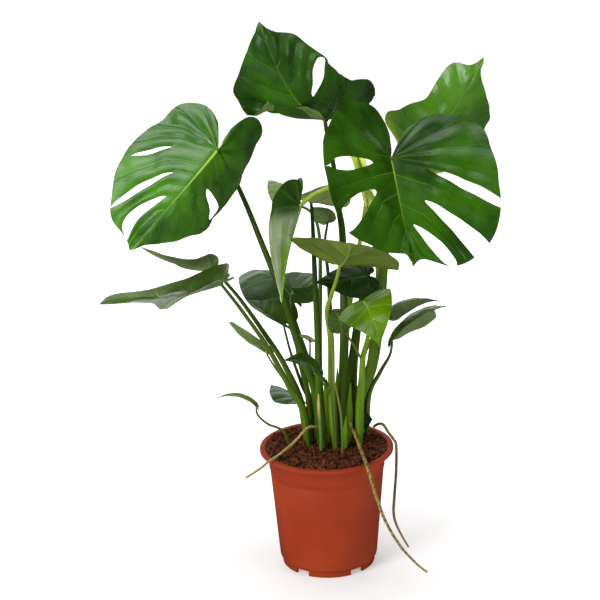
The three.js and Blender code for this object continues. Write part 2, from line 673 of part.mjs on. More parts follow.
// Where a rolled lobe touches its own blade no closed hollow is left between them.
function withoutHollows(solid) {
  const [skin, ...others] = solid.decompose().filter((body) => body.volume() > 0);
  return others.reduce((joined, body) => joined.add(body), skin);
}

// ---------------------------------------------------------------- pot and soil

function bodyRadius(level) {
  return POT.bodyRadiusLow + POT.taper * (level - POT.bodyLowLevel);
}

function latheSolid(profile, segments) {
  const points = profile.map(([radius, level]) => new THREE.Vector2(radius, level));
  const geometry = new THREE.LatheGeometry(points, segments);
  geometry.rotateX(Math.PI / 2);
  return geometry;
}

function potSolid() {
  const floorTop = POT.footHeight + POT.floorThickness;
  const rimInner = POT.rimRadius - POT.rimTopWidth;
  const collarLow = POT.height - POT.collarHeight;
  const upper = bodyRadius(POT.bodyTopLevel) + POT.ridgeStep;
  const profile = [
    [0, POT.footHeight],
    [POT.footRadius - POT.footWall, POT.footHeight],
    [POT.footRadius - POT.footWall, 0],
    [POT.footRadius, 0],
    [POT.footRadius, POT.footHeight],
    [POT.bodyRadiusLow, POT.bodyLowLevel],
    [bodyRadius(POT.ridgeLevel), POT.ridgeLevel],
    [bodyRadius(POT.ridgeLevel) + POT.ridgeStep, POT.ridgeLevel + 0.8],
    [upper, POT.bodyTopLevel],
    [upper + 1.4, collarLow],
    [POT.rimRadius, collarLow],
    [POT.rimRadius, POT.height - 1.2],
    [POT.rimRadius - 1.2, POT.height],
    [rimInner, POT.height],
    [upper - POT.wall, POT.bodyTopLevel - 1],
    [bodyRadius(POT.bodyLowLevel) - POT.wall, POT.bodyLowLevel],
    [POT.footRadius, floorTop],
    [0, floorTop],
  ];
  let solid = solidOf(latheSolid(profile, POT.segments));
  for (let i = 0; i < POT.feet; i++) {
    const angle = ((i + 0.5) * 2 * Math.PI) / POT.feet - Math.PI / 2;
    const notch = new THREE.BoxGeometry(24, POT.footNotchWidth, 2 * (POT.footHeight - 0.4));
    notch.translate(POT.footRadius, 0, 0);
    notch.rotateZ(angle);
    const drain = new THREE.CylinderGeometry(POT.drainRadius, POT.drainRadius, 30, 12);
    drain.rotateX(Math.PI / 2);
    drain.translate(POT.drainCircle * Math.cos(angle), POT.drainCircle * Math.sin(angle), 5);
    solid = solid.subtract(solidOf(notch)).subtract(solidOf(drain));
  }
  return solid;
}

function lumps(x, y) {
  const coarse = Math.sin(0.19 * x + 1.3) * Math.cos(0.17 * y + 0.4);
  const fine = Math.sin(0.43 * x + 0.31 * y + 0.7) + Math.cos(0.37 * x - 0.41 * y);
  return coarse + 0.5 * fine;
}

function soilSolid() {
  const floor = POT.footHeight + POT.floorThickness + SOIL.gap;
  const inside = (level) => bodyRadius(level) - POT.wall - SOIL.gap;
  const edge = inside(SOIL.edgeLevel) - 0.5;
  const profile = [
    [0, floor],
    [POT.footRadius - SOIL.gap - 0.6, floor],
    [inside(POT.bodyLowLevel + 1), POT.bodyLowLevel + 1],
    [edge, SOIL.edgeLevel],
    ...SOIL.rings.map((radius) => [radius, SOIL.edgeLevel + 0.1]),
    [0, SOIL.edgeLevel + 0.1],
  ];
  const geometry = latheSolid(profile, SOIL.segments);
  const place = geometry.attributes.position;
  for (let i = 0; i < place.count; i++) {
    const [x, y, z] = [place.getX(i), place.getY(i), place.getZ(i)];
    if (z <= SOIL.edgeLevel) continue;
    const inward = 1 - (x * x + y * y) / (edge * edge);
    place.setZ(i, z + SOIL.crownRise * inward + SOIL.lumpHeight * lumps(x, y));
  }
  let solid = solidOf(geometry);
  const standing = [
    ...LEAVES.map(petioleRings),
    ...SHEATHS.map((sheath) => stemRings(sheath.path, sheath.radii, 6, 6)),
  ];
  for (const rings of standing) solid = solid.subtract(socketSolid(rings));
  return solid;
}

// ---------------------------------------------------------------- the plant

const plant = new THREE.Group();

function place(name, solid, color, roughness) {
  const material = new THREE.MeshStandardMaterial({ color, roughness, metalness: 0 });
  const mesh = new THREE.Mesh(geometryOf(solid), material);
  mesh.name = name;
  plant.add(mesh);
}

place('pot', potSolid(), 0xb4512f, 0.45);
place('soil', soilSolid(), 0x3a2218, 0.95);
for (const leaf of LEAVES) place(leaf.name, leafSolid(leaf), leaf.color, 0.4);
for (const root of ROOTS) {
  place(root.name, stemSolid(stemRings(root.path, root.radii, 6, root.rings)), root.color, 0.7);
}
for (const sheath of SHEATHS) {
  place(sheath.name, stemSolid(stemRings(sheath.path, sheath.radii, 6, 6)), sheath.color, 0.8);
}

// The origin is under the middle of the whole plant's box, on the ground.
const middle = new THREE.Box3().setFromObject(plant).getCenter(new THREE.Vector3());
plant.position.set(-middle.x, -middle.y, 0);

const object = new THREE.Group();
object.add(plant);
export default object;
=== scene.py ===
"""Looks of the potted monstera: fine leaves, stalks, roots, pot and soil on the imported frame.

Lengths are in millimetres from the pot's axis until a mesh is made; Blender gets metres.
"""
import math

import bpy
import numpy as np
from mathutils import Matrix, Vector


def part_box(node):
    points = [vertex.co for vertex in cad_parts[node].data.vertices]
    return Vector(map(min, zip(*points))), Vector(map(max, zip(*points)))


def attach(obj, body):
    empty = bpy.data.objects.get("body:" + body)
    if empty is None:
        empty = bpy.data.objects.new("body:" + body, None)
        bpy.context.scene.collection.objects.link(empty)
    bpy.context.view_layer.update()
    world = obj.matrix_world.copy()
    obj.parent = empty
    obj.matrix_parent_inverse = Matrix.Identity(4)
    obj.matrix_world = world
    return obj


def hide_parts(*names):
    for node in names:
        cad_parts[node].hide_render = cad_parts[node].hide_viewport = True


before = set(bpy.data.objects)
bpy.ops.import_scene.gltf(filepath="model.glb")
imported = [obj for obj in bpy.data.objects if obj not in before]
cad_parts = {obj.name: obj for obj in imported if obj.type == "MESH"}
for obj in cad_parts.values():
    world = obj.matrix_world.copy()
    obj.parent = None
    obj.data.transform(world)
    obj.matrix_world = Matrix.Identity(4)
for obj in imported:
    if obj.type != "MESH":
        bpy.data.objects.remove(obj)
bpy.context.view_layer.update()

POT_LOW, POT_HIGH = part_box("pot")
AXIS = np.array([(POT_LOW[0] + POT_HIGH[0]) / 2, (POT_LOW[1] + POT_HIGH[1]) / 2, 0.0]) * 1000

# ---- the plant's dimensions

# The veins' angles to the midrib: beside the sinus, at the waist and at the tip. Those up to the
# waist, which is a share of half the outline, all start at the junction with the stalk.
SINUS, WAIST_ANGLE, TIP_ANGLE = 166.0, 78.0, 30.0
WAIST = 0.42
VEIN_BEND = 0.12
# The drawn-out tip, the rounded corner beside the sinus, and the least curl in degrees.
DRIP_FROM = 0.88
CORNER_SHARE, CORNER_ROUND = 0.08, 0.3
LEAST_CURL = 1e-3
# Half a heart: the veins' lengths from the sinus to the tip, as shares of the midrib's.
HEART = [0.24, 0.32, 0.40, 0.46, 0.49, 0.47, 0.41, 0.31, 0.20, 0.09, 0.0]
# Widths of a vein's groove and of the midrib on a blade of 200 mm, the part of a cell over which
# a cut edge turns down, and the shares of the blade that the raised midrib passes.
GROOVE_WIDTH, RIB_WIDTH = 4.5, 2.1
RIM_CELLS = (-0.08, 0.3)
RIB_PLACES = [-0.02, 0.1, 0.23, 0.38, 0.54, 0.7, 0.86]

# Rows of points beside the midrib and at the ends of a slit, as shares of the vein or the slit.
RIB_ROWS = [0.015, 0.04]
SLIT_START_ROWS = [0, 0.012, 0.04, 0.09, 0.16, 0.25]
SLIT_END_ROWS = [0.75, 0.84, 0.91, 0.96, 0.99, 1]
LEAST_ROW = 0.0035

# For each size of blade: shares of half the outline from vein to vein and in a column of points,
# and rows of points; relief as a share of the length; thickness.
SHEETS = {
    "big": ((0.12, 0.016, 16), 0.018, 1.0),
    "usual": ((0.16, 0.025, 11), 0.012, 0.8),
    "small": ((0.16, 0.025, 7), 0.012, 0.8),
}

# Heights over which a thick stalk swells and thins, and its grooved sheath opens and ends.
STALK_SWELLS, STALK_THINS = (188, 236), (250, 330)
SHEATH_OPENS, SHEATH_ENDS = (190, 220), (260, 350)
THICK_RADIUS = 3
# Where a tube's section starts, and how far its ends bulge, in radii.
FIRST_SIDE = (0.3, 1.0, 0.1)
FOOT_BULGE, TIP_BULGE = 0.4, 0.6
MIRROR = (-1, 1)

# Kinds of leaf, in sRGB 0-255: upper face, its darker patches, lower face, midrib and veins; and
# how clearly the side veins show. Then the pale rear margins, which are painted light shining
# through the blade, and how much an upper face mirrors.
GREENS = {
    "mid": ((64, 118, 12), (40, 88, 4), (104, 134, 56), (150, 186, 52), 0.12),
    "fresh": ((68, 118, 14), (42, 86, 4), (120, 150, 56), (100, 148, 30), 0.08),
    "dark": ((42, 88, 1), (22, 56, 0), (110, 136, 60), (100, 150, 24), 0.12),
    "gloss": ((44, 88, 1), (22, 54, 0), (110, 136, 60), (120, 164, 36), 0.3),
    "deep": ((20, 50, 1), (12, 36, 1), (82, 110, 40), (30, 62, 6), 0.1),
    "bright": ((96, 132, 2), (62, 96, 1), (132, 160, 56), (142, 172, 54), 0.2),
    # The pale kind's lower face is partly the paler underside, partly painted sheen.
    "pale": ((106, 142, 50), (88, 124, 34), (172, 192, 112), (150, 178, 80), 0.2),
    # The sage kind's pale grey-green is partly the leaves' own tone, partly painted sheen.
    "sage": ((156, 178, 112), (128, 156, 82), (168, 186, 124), (116, 148, 70), 0.3),
    # The young kind's very pale tones are partly the young leaf's own pale green, partly painted
    # light shining through it.
    "young": ((226, 238, 140), (206, 222, 108), (228, 240, 150), (200, 220, 110), 0.1),
    "grey": ((70, 98, 26), (44, 68, 12), (102, 126, 64), (92, 122, 42), 0.25),
    "shaded": ((46, 78, 12), (32, 60, 6), (104, 130, 62), (84, 116, 34), 0.1),
    # The hanging kind's pale grey-green face is painted sheen.
    "hanging": ((140, 162, 104), (112, 138, 72), (140, 162, 104), (120, 152, 50), 0.05),
    "olive": ((60, 96, 22), (42, 72, 12), (92, 110, 32), (126, 142, 58), 0.6),
}
SHINE_THROUGH_MARGINS = {"fresh": (140, 168, 40)}
SPECULAR = {"gloss": 0.26, "deep": 0.15, "bright": 0.2, "shaded": 0.3}
# A stalk's colour at its foot and at its blade.
STALKS = {
    "dark": ((68, 94, 10), (42, 62, 4)),
    "mid": ((76, 104, 12), (60, 84, 12)),
    "bright": ((90, 120, 18), (136, 160, 52)),
    "shoot": ((82, 110, 18), (86, 120, 8)),
    "pale": ((58, 82, 12), (108, 126, 40)),
}

# Each half of a blade has a fold and a curl in degrees, and its outline as a list (left, right) or
# as a width and a rear lobe of the heart. arch and sway bow the midrib. A slit has its place,
# start, end, half width, openness and drift. rolled is a rear lobe's half, and the line, span and
# turn of the roll in degrees. petiole is the stalk's path up to the junction.
LEAVES = [
    dict(name="leaf_left_large", kind="mid", slot="leaf_mid_green", stalk="dark", size="big",
         junction=(-151, -20, 678), tip=(-273, -153, 570), facing=(0.21, -0.96, 0.18), arch=0.04,
         fold=(-30, -29), curl=(-31, -12), sinus=(190, 150),
         left=[0.3, 0.58, 0.5, 0.49, 0.56, 0.55, 0.43, 0.33, 0.22, 0.1, 0], drip=0.03,
         right=[0.38, 0.48, 0.52, 0.49, 0.53, 0.57, 0.54, 0.46, 0.36, 0.17, 0],
         slits=([(0.524, 0.32, 0.947, 0.036, 1, -0.145)],
                [(0.463, 0.52, 0.918, 0.014, 0.05, 0.16), (0.584, 0.29, 1, 0.022, 0.1, 0.24),
                 (0.712, 0.19, 1, 0.05, 0.2, 0.25)]),
         petiole=[(-12, 4, 150), (-12, 12, 266), (-35, 3, 345), (-60, 0, 436), (-92, 26, 520),
                  (-123, 57, 595)], radii=[7.5, 6.5, 4.5, 3]),
    dict(name="leaf_top_large", kind="dark", slot="leaf_dark_green", stalk="dark", size="big",
         junction=(9, 32, 707), tip=(-82, -70, 870), facing=(-0.37, -0.71, 0.6), arch=0.19,
         sway=-0.045, fold=(-40, -35), curl=(20, -7), sinus=(120, 165), rolled=(0, 44, 20, 172),
         drip=0.02, left=[0.16, 0.36, 0.46, 0.4, 0.45, 0.48, 0.51, 0.41, 0.29, 0.15, 0],
         right=[0.86, 0.6, 0.39, 0.34, 0.35, 0.38, 0.4, 0.37, 0.3, 0.14, 0],
         slits=([], [(0.575, 0.29, 0.975, 0.06, 0.9, 0.026)]),
         petiole=[(22, 4, 150), (26, 8, 267), (31, 16, 380), (33, 64, 511), (27, 66, 567),
                  (22, 62, 623), (12, 42, 683)], radii=[7, 6, 4, 2.8]),
    dict(name="leaf_front_right_large", kind="gloss", slot="leaf_dark_green", size="big",
         junction=(102, -80, 674), tip=(125, -186, 546), facing=(0.52, -0.73, 0.45), arch=0.01,
         sway=0.01, fold=(12, 12), curl=(8, 2), sinus=(150, 188), drip=0.03,
         left=[0.4, 0.74, 0.95, 0.93, 0.94, 0.94, 0.88, 0.74, 0.53, 0.18, 0],
         right=[0.34, 0.54, 0.66, 0.73, 0.88, 0.92, 0.87, 0.64, 0.39, 0.13, 0],
         slits=([(0.432, 0.34, 1, 0.026, 0.6, 0.085), (0.595, 0.29, 1, 0.047, 0.86, 0.12),
                 (0.758, 0.16, 1, 0.038, 0.3, 0.06)],
                [(0.444, 0.29, 0.94, 0.026, 0.3, -0.027), (0.565, 0.34, 1, 0.045, 0.6, 0.045)]),
         petiole=[(44, 28, 150), (53, 28, 255), (74, 24, 316), (87, 8, 413), (95, -34, 537),
                  (102, -66, 630)], radii=[8.5, 9, 6, 3.5]),
    dict(name="leaf_back_right_large", kind="fresh", slot="leaf_mid_green", size="big",
         junction=(166, 64, 650), tip=(242, 18, 793), facing=(-0.08, -0.96, -0.27), arch=0.12,
         sway=-0.01, fold=(-20, -40), curl=(-19, -5),
         left=[0.2, 0.34, 0.34, 0.52, 0.46, 0.4, 0.31, 0.33, 0.31, 0.13, 0], drip=0.04,
         right=[0.35, 0.8, 0.76, 0.64, 0.61, 0.6, 0.51, 0.39, 0.25, 0.1, 0],
         petiole=[(36, 46, 150), (43, 46, 252), (51, 48, 352), (68, 52, 449), (99, 58, 543),
                  (138, 66, 611)], radii=[6.5, 6, 4, 3]),
    dict(name="leaf_young_pale", kind="young", slot="leaf_light_green", stalk="bright",
         junction=(51, 37, 674), tip=(72, 70, 552), facing=(0.09, -0.93, -0.36), arch=0.16,
         sway=-0.03, fold=(60, 64), curl=(14, 12),
         left=[0.1, 0.13, 0.16, 0.17, 0.18, 0.19, 0.2, 0.19, 0.15, 0.08, 0],
         right=[0.1, 0.14, 0.17, 0.19, 0.2, 0.2, 0.19, 0.17, 0.12, 0.06, 0],
         petiole=[(18, 50, 150), (32, 52, 250), (35, 50, 351), (45, 50, 434), (60, 54, 514),
                  (70, 55, 585), (63, 48, 645)], radii=[5, 4.5, 3, 2]),
    dict(name="leaf_hanging", kind="hanging", slot="leaf_grey_green", stalk="bright",
         junction=(-32, -61, 601), tip=(-63, -109, 466), facing=(-0.68, -0.63, 0.38), arch=-0.02,
         sway=0.06, fold=(90, -15), curl=(2, -33), width=(0.76, 0.9), rear=(1.4, 1.1),
         petiole=[(54, 52, 150), (72, 52, 306), (84, 42, 419), (87, 14, 524), (82, -4, 585),
                  (61, -22, 618), (35, -34, 628), (10, -46, 622), (-14, -54, 614)],
         radii=[5.5, 4.5, 4, 3.6, 3.4, 3.2]),
    dict(name="leaf_canopy", kind="olive", slot="leaf_mid_green", stalk="pale",
         junction=(24, -90, 516), tip=(38, -207, 584), facing=(0.22, 0.52, 0.83), arch=-0.04,
         sway=-0.02, fold=(23, 16), curl=(-22, -4), width=(1.3, 1.27), rear=(1.32, 0.9),
         petiole=[(16, -16, 150), (10, -14, 276), (10, -20, 376), (5, -36, 427), (11, -58, 459),
                  (19, -77, 490)], radii=[6.5, 5, 3.2, 2.4]),
    dict(name="leaf_centre_dark", kind="deep", slot="leaf_dark_green", stalk="dark",
         junction=(66, -13, 475), tip=(-15, -55, 480), facing=(0.32, -0.53, 0.78), arch=-0.02,
         fold=(-4, -9), curl=(-49, -22), width=(0.78, 0.74), rear=(0.8, 1.1),
         petiole=[(27, 36, 150), (34, 36, 256), (44, 30, 341), (54, 18, 411), (63, 2, 448)],
         radii=[5.5, 4.5, 3, 2.2]),
    dict(name="leafy_shoot_right", kind="bright", slot="leaf_light_green", stalk="shoot",
         junction=(59, -82, 457), tip=(80, -151, 407), facing=(-0.01, -0.58, 0.81), arch=0.26,
         sway=0.02, fold=(13, -26), curl=(12, 0), width=(1, 1.04), rear=(0.9, 1.2),
         petiole=[(52, -4, 150), (53, -8, 255), (57, -10, 306), (59, -16, 346), (66, -38, 387),
                  (66, -64, 430)], radii=[7, 5.5, 3, 2]),
    dict(name="leaf_right_lower", kind="grey", slot="leaf_grey_green", junction=(105, 17, 368),
         tip=(185, -55, 438), facing=(-0.71, -0.12, 0.69), arch=0.16, sway=0.1, fold=(-17, -15),
         curl=(-35, -20), width=(1.24, 0.34), rear=(0.85, 0.85),
         petiole=[(66, 36, 150), (68, 36, 255), (87, 36, 300), (102, 34, 328), (106, 32, 347)],
         radii=[5, 3.5, 2.2, 1.8]),
    dict(name="leaf_left_upper", kind="grey", slot="leaf_grey_green", junction=(-171, 52, 477),
         tip=(-280, 61, 509), facing=(0.28, 0.54, 0.79), arch=-0.1, sway=-0.01, fold=(9, 17),
         curl=(22, -25), left=[0.08, 0.1, 0.15, 0.27, 0.34, 0.22, 0.19, 0.18, 0.16, 0.1, 0],
         right=[0.08, 0.08, 0.1, 0.2, 0.4, 0.39, 0.28, 0.14, 0.08, 0.06, 0],
         petiole=[(-32, 22, 150), (-36, 26, 245), (-62, 30, 318), (-96, 36, 376), (-129, 42, 426),
                  (-156, 48, 459)], radii=[6, 4.5, 3, 2.2]),
    dict(name="leaf_left_long", kind="grey", slot="leaf_grey_green", junction=(-155, -26, 473),
         tip=(-339, 1, 437), facing=(-0.18, 0.09, 0.98), arch=-0.08, sway=0.21, fold=(8, 43),
         curl=(-22, -27), drip=0.02,
         left=[0.3, 0.36, 0.38, 0.4, 0.5, 0.46, 0.4, 0.27, 0.17, 0.09, 0],
         right=[0.1, 0.1, 0.1, 0.13, 0.22, 0.22, 0.17, 0.14, 0.14, 0.13, 0],
         petiole=[(-26, 0, 150), (-33, 0, 246), (-55, -2, 293), (-87, -8, 362), (-120, -14, 418),
                  (-145, -20, 457)], radii=[6, 4.5, 3, 2.2]),
    dict(name="leaf_mid_broad", kind="shaded", slot="leaf_grey_green", junction=(-51, 90, 415),
         tip=(-133, 152, 427), facing=(0.23, 0.1, 0.97), arch=0.24, sway=-0.08, fold=(-22, 1),
         curl=(-23, -21), width=(1.39, 0.7), rear=(0.7, 0.9),
         petiole=[(-20, 28, 150), (-26, 33, 258), (-38, 42, 319), (-45, 52, 361), (-50, 66, 395)],
         radii=[5, 4, 2.8, 2]),
    dict(name="leaf_mid_right", kind="shaded", slot="leaf_grey_green", junction=(-51, 136, 413),
         tip=(-9, 112, 426), facing=(-0.55, -0.64, 0.53), arch=-0.1, sway=0.02, fold=(-21, -36),
         curl=(-11, -35), width=(1.51, 1.47), rear=(1.2, 0.8),
         petiole=[(8, 36, 150), (-11, 44, 254), (-24, 64, 311), (-42, 92, 364), (-53, 126, 394)],
         radii=[4.5, 3.5, 2.4, 1.8]),
    dict(name="leaf_mid_narrow", kind="grey", slot="leaf_grey_green", junction=(-63, 31, 390),
         tip=(-120, 62, 418), facing=(-0.02, -0.67, 0.74), arch=0.2, sway=-0.07, fold=(44, 2),
         curl=(24, 8), width=(0.93, 0.71), rear=(0.9, 1),
         petiole=[(-14, 44, 150), (-24, 46, 245), (-36, 43, 281), (-51, 39, 331), (-59, 37, 367)],
         radii=[4, 3, 2, 1.6]),
    dict(name="leaf_centre_back", kind="pale", slot="leaf_grey_green", stalk="dark",
         junction=(-15, 34, 581), tip=(40, -13, 621), facing=(-0.28, 0.4, 0.87), arch=-0.08,
         sway=0.07, fold=(-12, 38), curl=(-10, -42), width=(1.35, 1.32), rear=(0.77, 0.77),
         petiole=[(0, -12, 150), (-10, -10, 275), (-10, -4, 371), (-12, 8, 464), (-13, 22, 532),
                  (-14, 31, 566)], radii=[6, 5, 3.2, 2.2]),
    dict(name="leaf_centre_far", kind="pale", slot="leaf_light_green", junction=(-47, 86, 565),
         tip=(-81, 129, 594), facing=(0.33, -0.33, 0.89), arch=0.19, sway=-0.13, fold=(-19, 12),
         curl=(-15, -9), width=(0.83, 0.63), rear=(1, 1),
         petiole=[(2, 54, 150), (-6, 60, 256), (-6, 66, 347), (-3, 78, 442), (-3, 90, 513),
                  (-13, 98, 545), (-32, 100, 558)], radii=[4.5, 3.5, 2.4, 1.8]),
    dict(name="leaf_centre_small", kind="grey", slot="leaf_mid_green", stalk="dark",
         junction=(11, 76, 539), tip=(-15, 35, 572), facing=(0.2, 0.52, 0.83), arch=0.1, sway=-0.11,
         fold=(21, 12), curl=(4, -1), width=(0.46, 1.02), rear=(0.65, 0.8),
         petiole=[(12, 22, 150), (9, 24, 269), (11, 34, 374), (9, 48, 460), (5, 60, 505)],
         radii=[5, 4, 2.6, 1.8]),
    dict(name="leaf_low_thin", kind="pale", slot="leaf_mid_green", size="small",
         junction=(-108, -21, 271), tip=(-169, -63, 301), facing=(0.57, -0.3, 0.77), arch=0.1,
         sway=0.1, fold=(20, 0), curl=(0, 10), width=(0.25, 0.25), rear=(1, 1),
         petiole=[(-52, 16, 160), (-65, 0, 217), (-91, -8, 236), (-106, -14, 254)],
         radii=[2.5, 2, 1.7, 1.4]),
    dict(name="leaf_low_pale", kind="sage", slot="leaf_grey_green", size="small",
         junction=(-22, 24, 362), tip=(-45, 20, 369), facing=(0.09, 0.41, 0.9), arch=0.12,
         fold=(15, 2), curl=(-8, -9), width=(0.96, 0.97), rear=(1.1, 1),
         petiole=[(-6, 30, 150), (-19, 24, 270), (-23, 23, 321), (-22, 23, 346)],
         radii=[3, 2.4, 1.6, 1.3]),
]

# Small leaves on the stalk of a larger one.
SIDE_LEAVES = {
    "leaf_canopy": [
        dict(kind="dark", junction=(-10, -57, 337), tip=(-64, -110, 377), facing=(0.2, -0.35, 0.92),
             arch=0.09, sway=0.05, fold=(5, 20), curl=(-10, -10), width=(0.8, 0.55),
             rear=(0.9, 1.2), petiole=[(7, -14, 278), (2, -26, 299), (-5, -42, 317)],
             radii=[1.8, 1.6, 1.5]),
    ],
    "leafy_shoot_right": [
        dict(kind="grey", junction=(103, 12, 408), tip=(181, 9, 424), facing=(-0.27, -0.2, 0.94),
             arch=0.11, sway=-0.04, fold=(4, -30), curl=(-37, 5), width=(0.37, 0.49),
             rear=(1, 0.65), petiole=[(59, -15, 341), (71, -18, 374), (86, -16, 395), (97, 2, 405)],
             radii=[2.2, 2, 1.8, 1.6]),
        dict(kind="grey", size="small", junction=(26, -52, 411), tip=(14, -41, 434),
             facing=(0, -0.5, 0.85), arch=0.05, fold=(5, 5), curl=(-15, -15), width=(1.5, 1.5),
             rear=(1, 1), petiole=[(57, -15, 341), (44, -36, 373), (32, -48, 397)],
             radii=[2, 1.7, 1.5]),
        dict(kind="deep", size="small", junction=(47, 12, 231), tip=(74, 16, 230),
             facing=(0.1, -1, 0.1), arch=0.18, fold=(5, 5), curl=(-15, -15), width=(1.3, 1.3),
             rear=(1.1, 1), petiole=[(51, -6, 218), (50, 2, 221), (49, 8, 226)],
             radii=[2, 1.8, 1.6]),
    ],
    "leaf_left_upper": [
        dict(kind="dark", size="small", junction=(-41, 46, 256), tip=(-87, 93, 263),
             facing=(0.14, -0.04, 0.99), arch=0.04, sway=0.05, fold=(17, -32), curl=(-31, -18),
             width=(1.37, 0.61), rear=(0.6, 1),
             petiole=[(-34, 26, 236), (-35, 35, 243), (-38, 41, 251)], radii=[2, 1.8, 1.6]),
    ],
    "leaf_left_long": [
        dict(kind="sage", junction=(-90, -1, 356), tip=(-143, -54, 421), facing=(0.79, -0.05, 0.61),
             arch=-0.1, sway=0.13, fold=(-9, 5), curl=(25, -35), width=(0.22, 0.73), rear=(1, 0.6),
             petiole=[(-58, -3, 298), (-76, 2, 324), (-87, 2, 344)], radii=[1.8, 1.5, 1.4]),
    ],
}

ROOTS = [
    dict(name="aerial_root_left", slot="root_tan", color=(182, 162, 88), dark=(124, 102, 46),
         path=[(-13, -6, 228), (-29, -16, 231), (-49, -30, 215), (-72, -50, 203),
               (-91, -68, 197.5), (-103, -82, 193), (-125, -105, 188)],
         radii=[2.4, 2.2, 2, 1.6]),
    dict(name="aerial_root_front", slot="root_olive", color=(170, 154, 66),
         dark=(84, 66, 26),
         path=[(38, 4, 231), (41, -7, 224), (47, -22, 213), (54, -60, 203), (61, -104, 196),
               (71, -122, 162), (85, -122, 119), (107, -120, 76), (130, -125, 49),
               (148, -130, 34)], radii=[2.8, 2.8, 2.6, 2.2, 1.4]),
    dict(name="aerial_root_right", slot="root_brown", color=(146, 124, 50), dark=(84, 62, 24),
         path=[(76, 32, 211), (84, 28, 217), (91, 20, 218), (98, 11, 209), (105, 4, 201),
               (109.5, -2, 191), (109, -4, 150), (106, -6, 110), (104, -10, 82),
               (107, -14, 64), (116, -24, 46), (126, -30, 29)],
         radii=[2.2, 2.3, 2.2, 2.1, 1.4]),
]
SHEATHS = [
    dict(name="dry_sheath_left", slot="dry_sheath", color=(204, 182, 124), dark=(160, 132, 82),
         path=[(-9, -26, 150), (-9, -24, 222), (-11, -23, 265), (-11, -22, 289)],
         radii=[2.8, 2.6, 2.4, 0.9], foot=(84, 110, 30)),
    dict(name="dry_sheath_right", slot="dry_sheath", color=(140, 126, 74), dark=(104, 86, 46),
         path=[(24, -32, 150), (24, -31, 236), (20, -31, 279), (13, -32, 315)],
         radii=[2, 1.8, 1.5, 0.7], foot=(90, 108, 34)),
]

# Green sheaths between the stalks: foot, lean to the right and back, height, width. CROWN_RISE
# has the shares of the lean and the height on the way up, and CROWN_WIDTHS those of the width.
CROWN = [
    (-24, 10, -10, 4, 74, 6.5), (-2, -6, -5, -2, 92, 6.0), (18, 22, 2, 3, 128, 8.0),
    (34, 8, 6, -3, 112, 7.0), (6, 40, -3, 6, 104, 7.0), (46, 24, 9, 4, 100, 7.0),
    (-12, 30, -12, 6, 88, 6.0), (28, -14, 3, -5, 66, 5.0), (-28, 34, -16, 8, 70, 5.5),
    (40, 36, 9, 6, 118, 6.5), (2, 14, -2, 0, 120, 6.5),
]
CROWN_DEPTH = 8
CROWN_RISE = [(0, 0), (0.25, 0.36), (0.6, 0.7), (1, 1)]
CROWN_WIDTHS = [0.5, 1, 0.95, 0.5, 0.12]
OVAL_TURN, OVAL_FLATNESS = 0.3, 5

# The pot's wall, radius and level, from the middle of the floor outside to its middle inside.
POT_PROFILE = [
    (0, 8.4), (68.6, 8.4), (72.8, 8.4), (73.6, 8.8), (74.8, 9.6), (77.0, 13.4), (77.4, 15),
    (83.2, 84), (89.1, 153.8), (88.7, 154.4), (89.3, 155.2), (89.5, 161.2), (90.5, 162.2),
    (90.9, 163.2), (92.4, 186.6), (93.3, 188),
    (95, 188.9), (104.2, 188.9), (104.8, 189.3), (105, 190), (105, 193), (104.6, 193.9),
    (103.6, 194.4), (98, 194.4), (96.8, 194.2), (96.2, 193.4), (95.4, 191.4), (90.9, 186.4),
    (83.2, 100), (75.7, 14), (73.4, 10.2), (0, 10.2),
]
POT_SIDES = 160
EDGE_TURN = math.radians(50)
# The foot segments, with a gap between each and the next.
FOOT_SECTION = [(69.4, 8.6), (69.4, 0.4), (69.8, 0), (72.6, 0), (73.2, 0.6), (73.4, 8.6)]
FOOT_COUNT, FOOT_STEPS = 5, 25
FOOT_NOTCH = math.radians(9)

# The soil's rim, the rise of its middle and the height of its grain; the crumbs' half sizes, and
# how far above the soil their middles lie.
SOIL_LEVEL, SOIL_RADIUS = 192.0, 95.3
SOIL_DOME, SOIL_GRAIN = 1.6, 0.8
CRUMB_COUNT = 1500
CRUMB_SIZES = [(1.0, 5.0), (0.6, 2.0), (0.5, 1.5)]
CRUMB_LIFT = (0.2, 1.8)


# ---- small geometry helpers

def unit(v):
    v = np.asarray(v, float)
    return v / np.linalg.norm(v, axis=-1, keepdims=True)


def smooth(a, b, x):
    """Rises softly from 0 at a to 1 at b."""
    x = np.clip((x - a) / (b - a), 0, 1)
    return x * x * (3 - 2 * x)


def value_along(values, t):
    """A smooth curve through values at even steps of t from 0 to 1."""
    v = np.asarray(values, float)
    v = np.concatenate([2 * v[:1] - v[1:2], v, 2 * v[-1:] - v[-2:-1]])
    x = np.clip(np.asarray(t, float), 0, 1) * (len(v) - 3)
    i = np.minimum(x.astype(int), len(v) - 4)
    f = (x - i).reshape(x.shape + (1,) * (v.ndim - 1))
    before, a, b, after = (v[i + k] for k in range(4))
    cubic = 3 * (a - b) + after - before
    return a + 0.5 * f * (b - before + f * (2 * before - 5 * a + 4 * b - after + f * cubic))


def srgb(color):
    """An sRGB colour from 0 to 255 as a linear one with alpha."""
    c = np.asarray(color, float) / 255
    lin = np.where(c <= 0.04045, c / 12.92, ((c + 0.055) / 1.055) ** 2.4)
    return (*[float(x) for x in lin], 1.0)


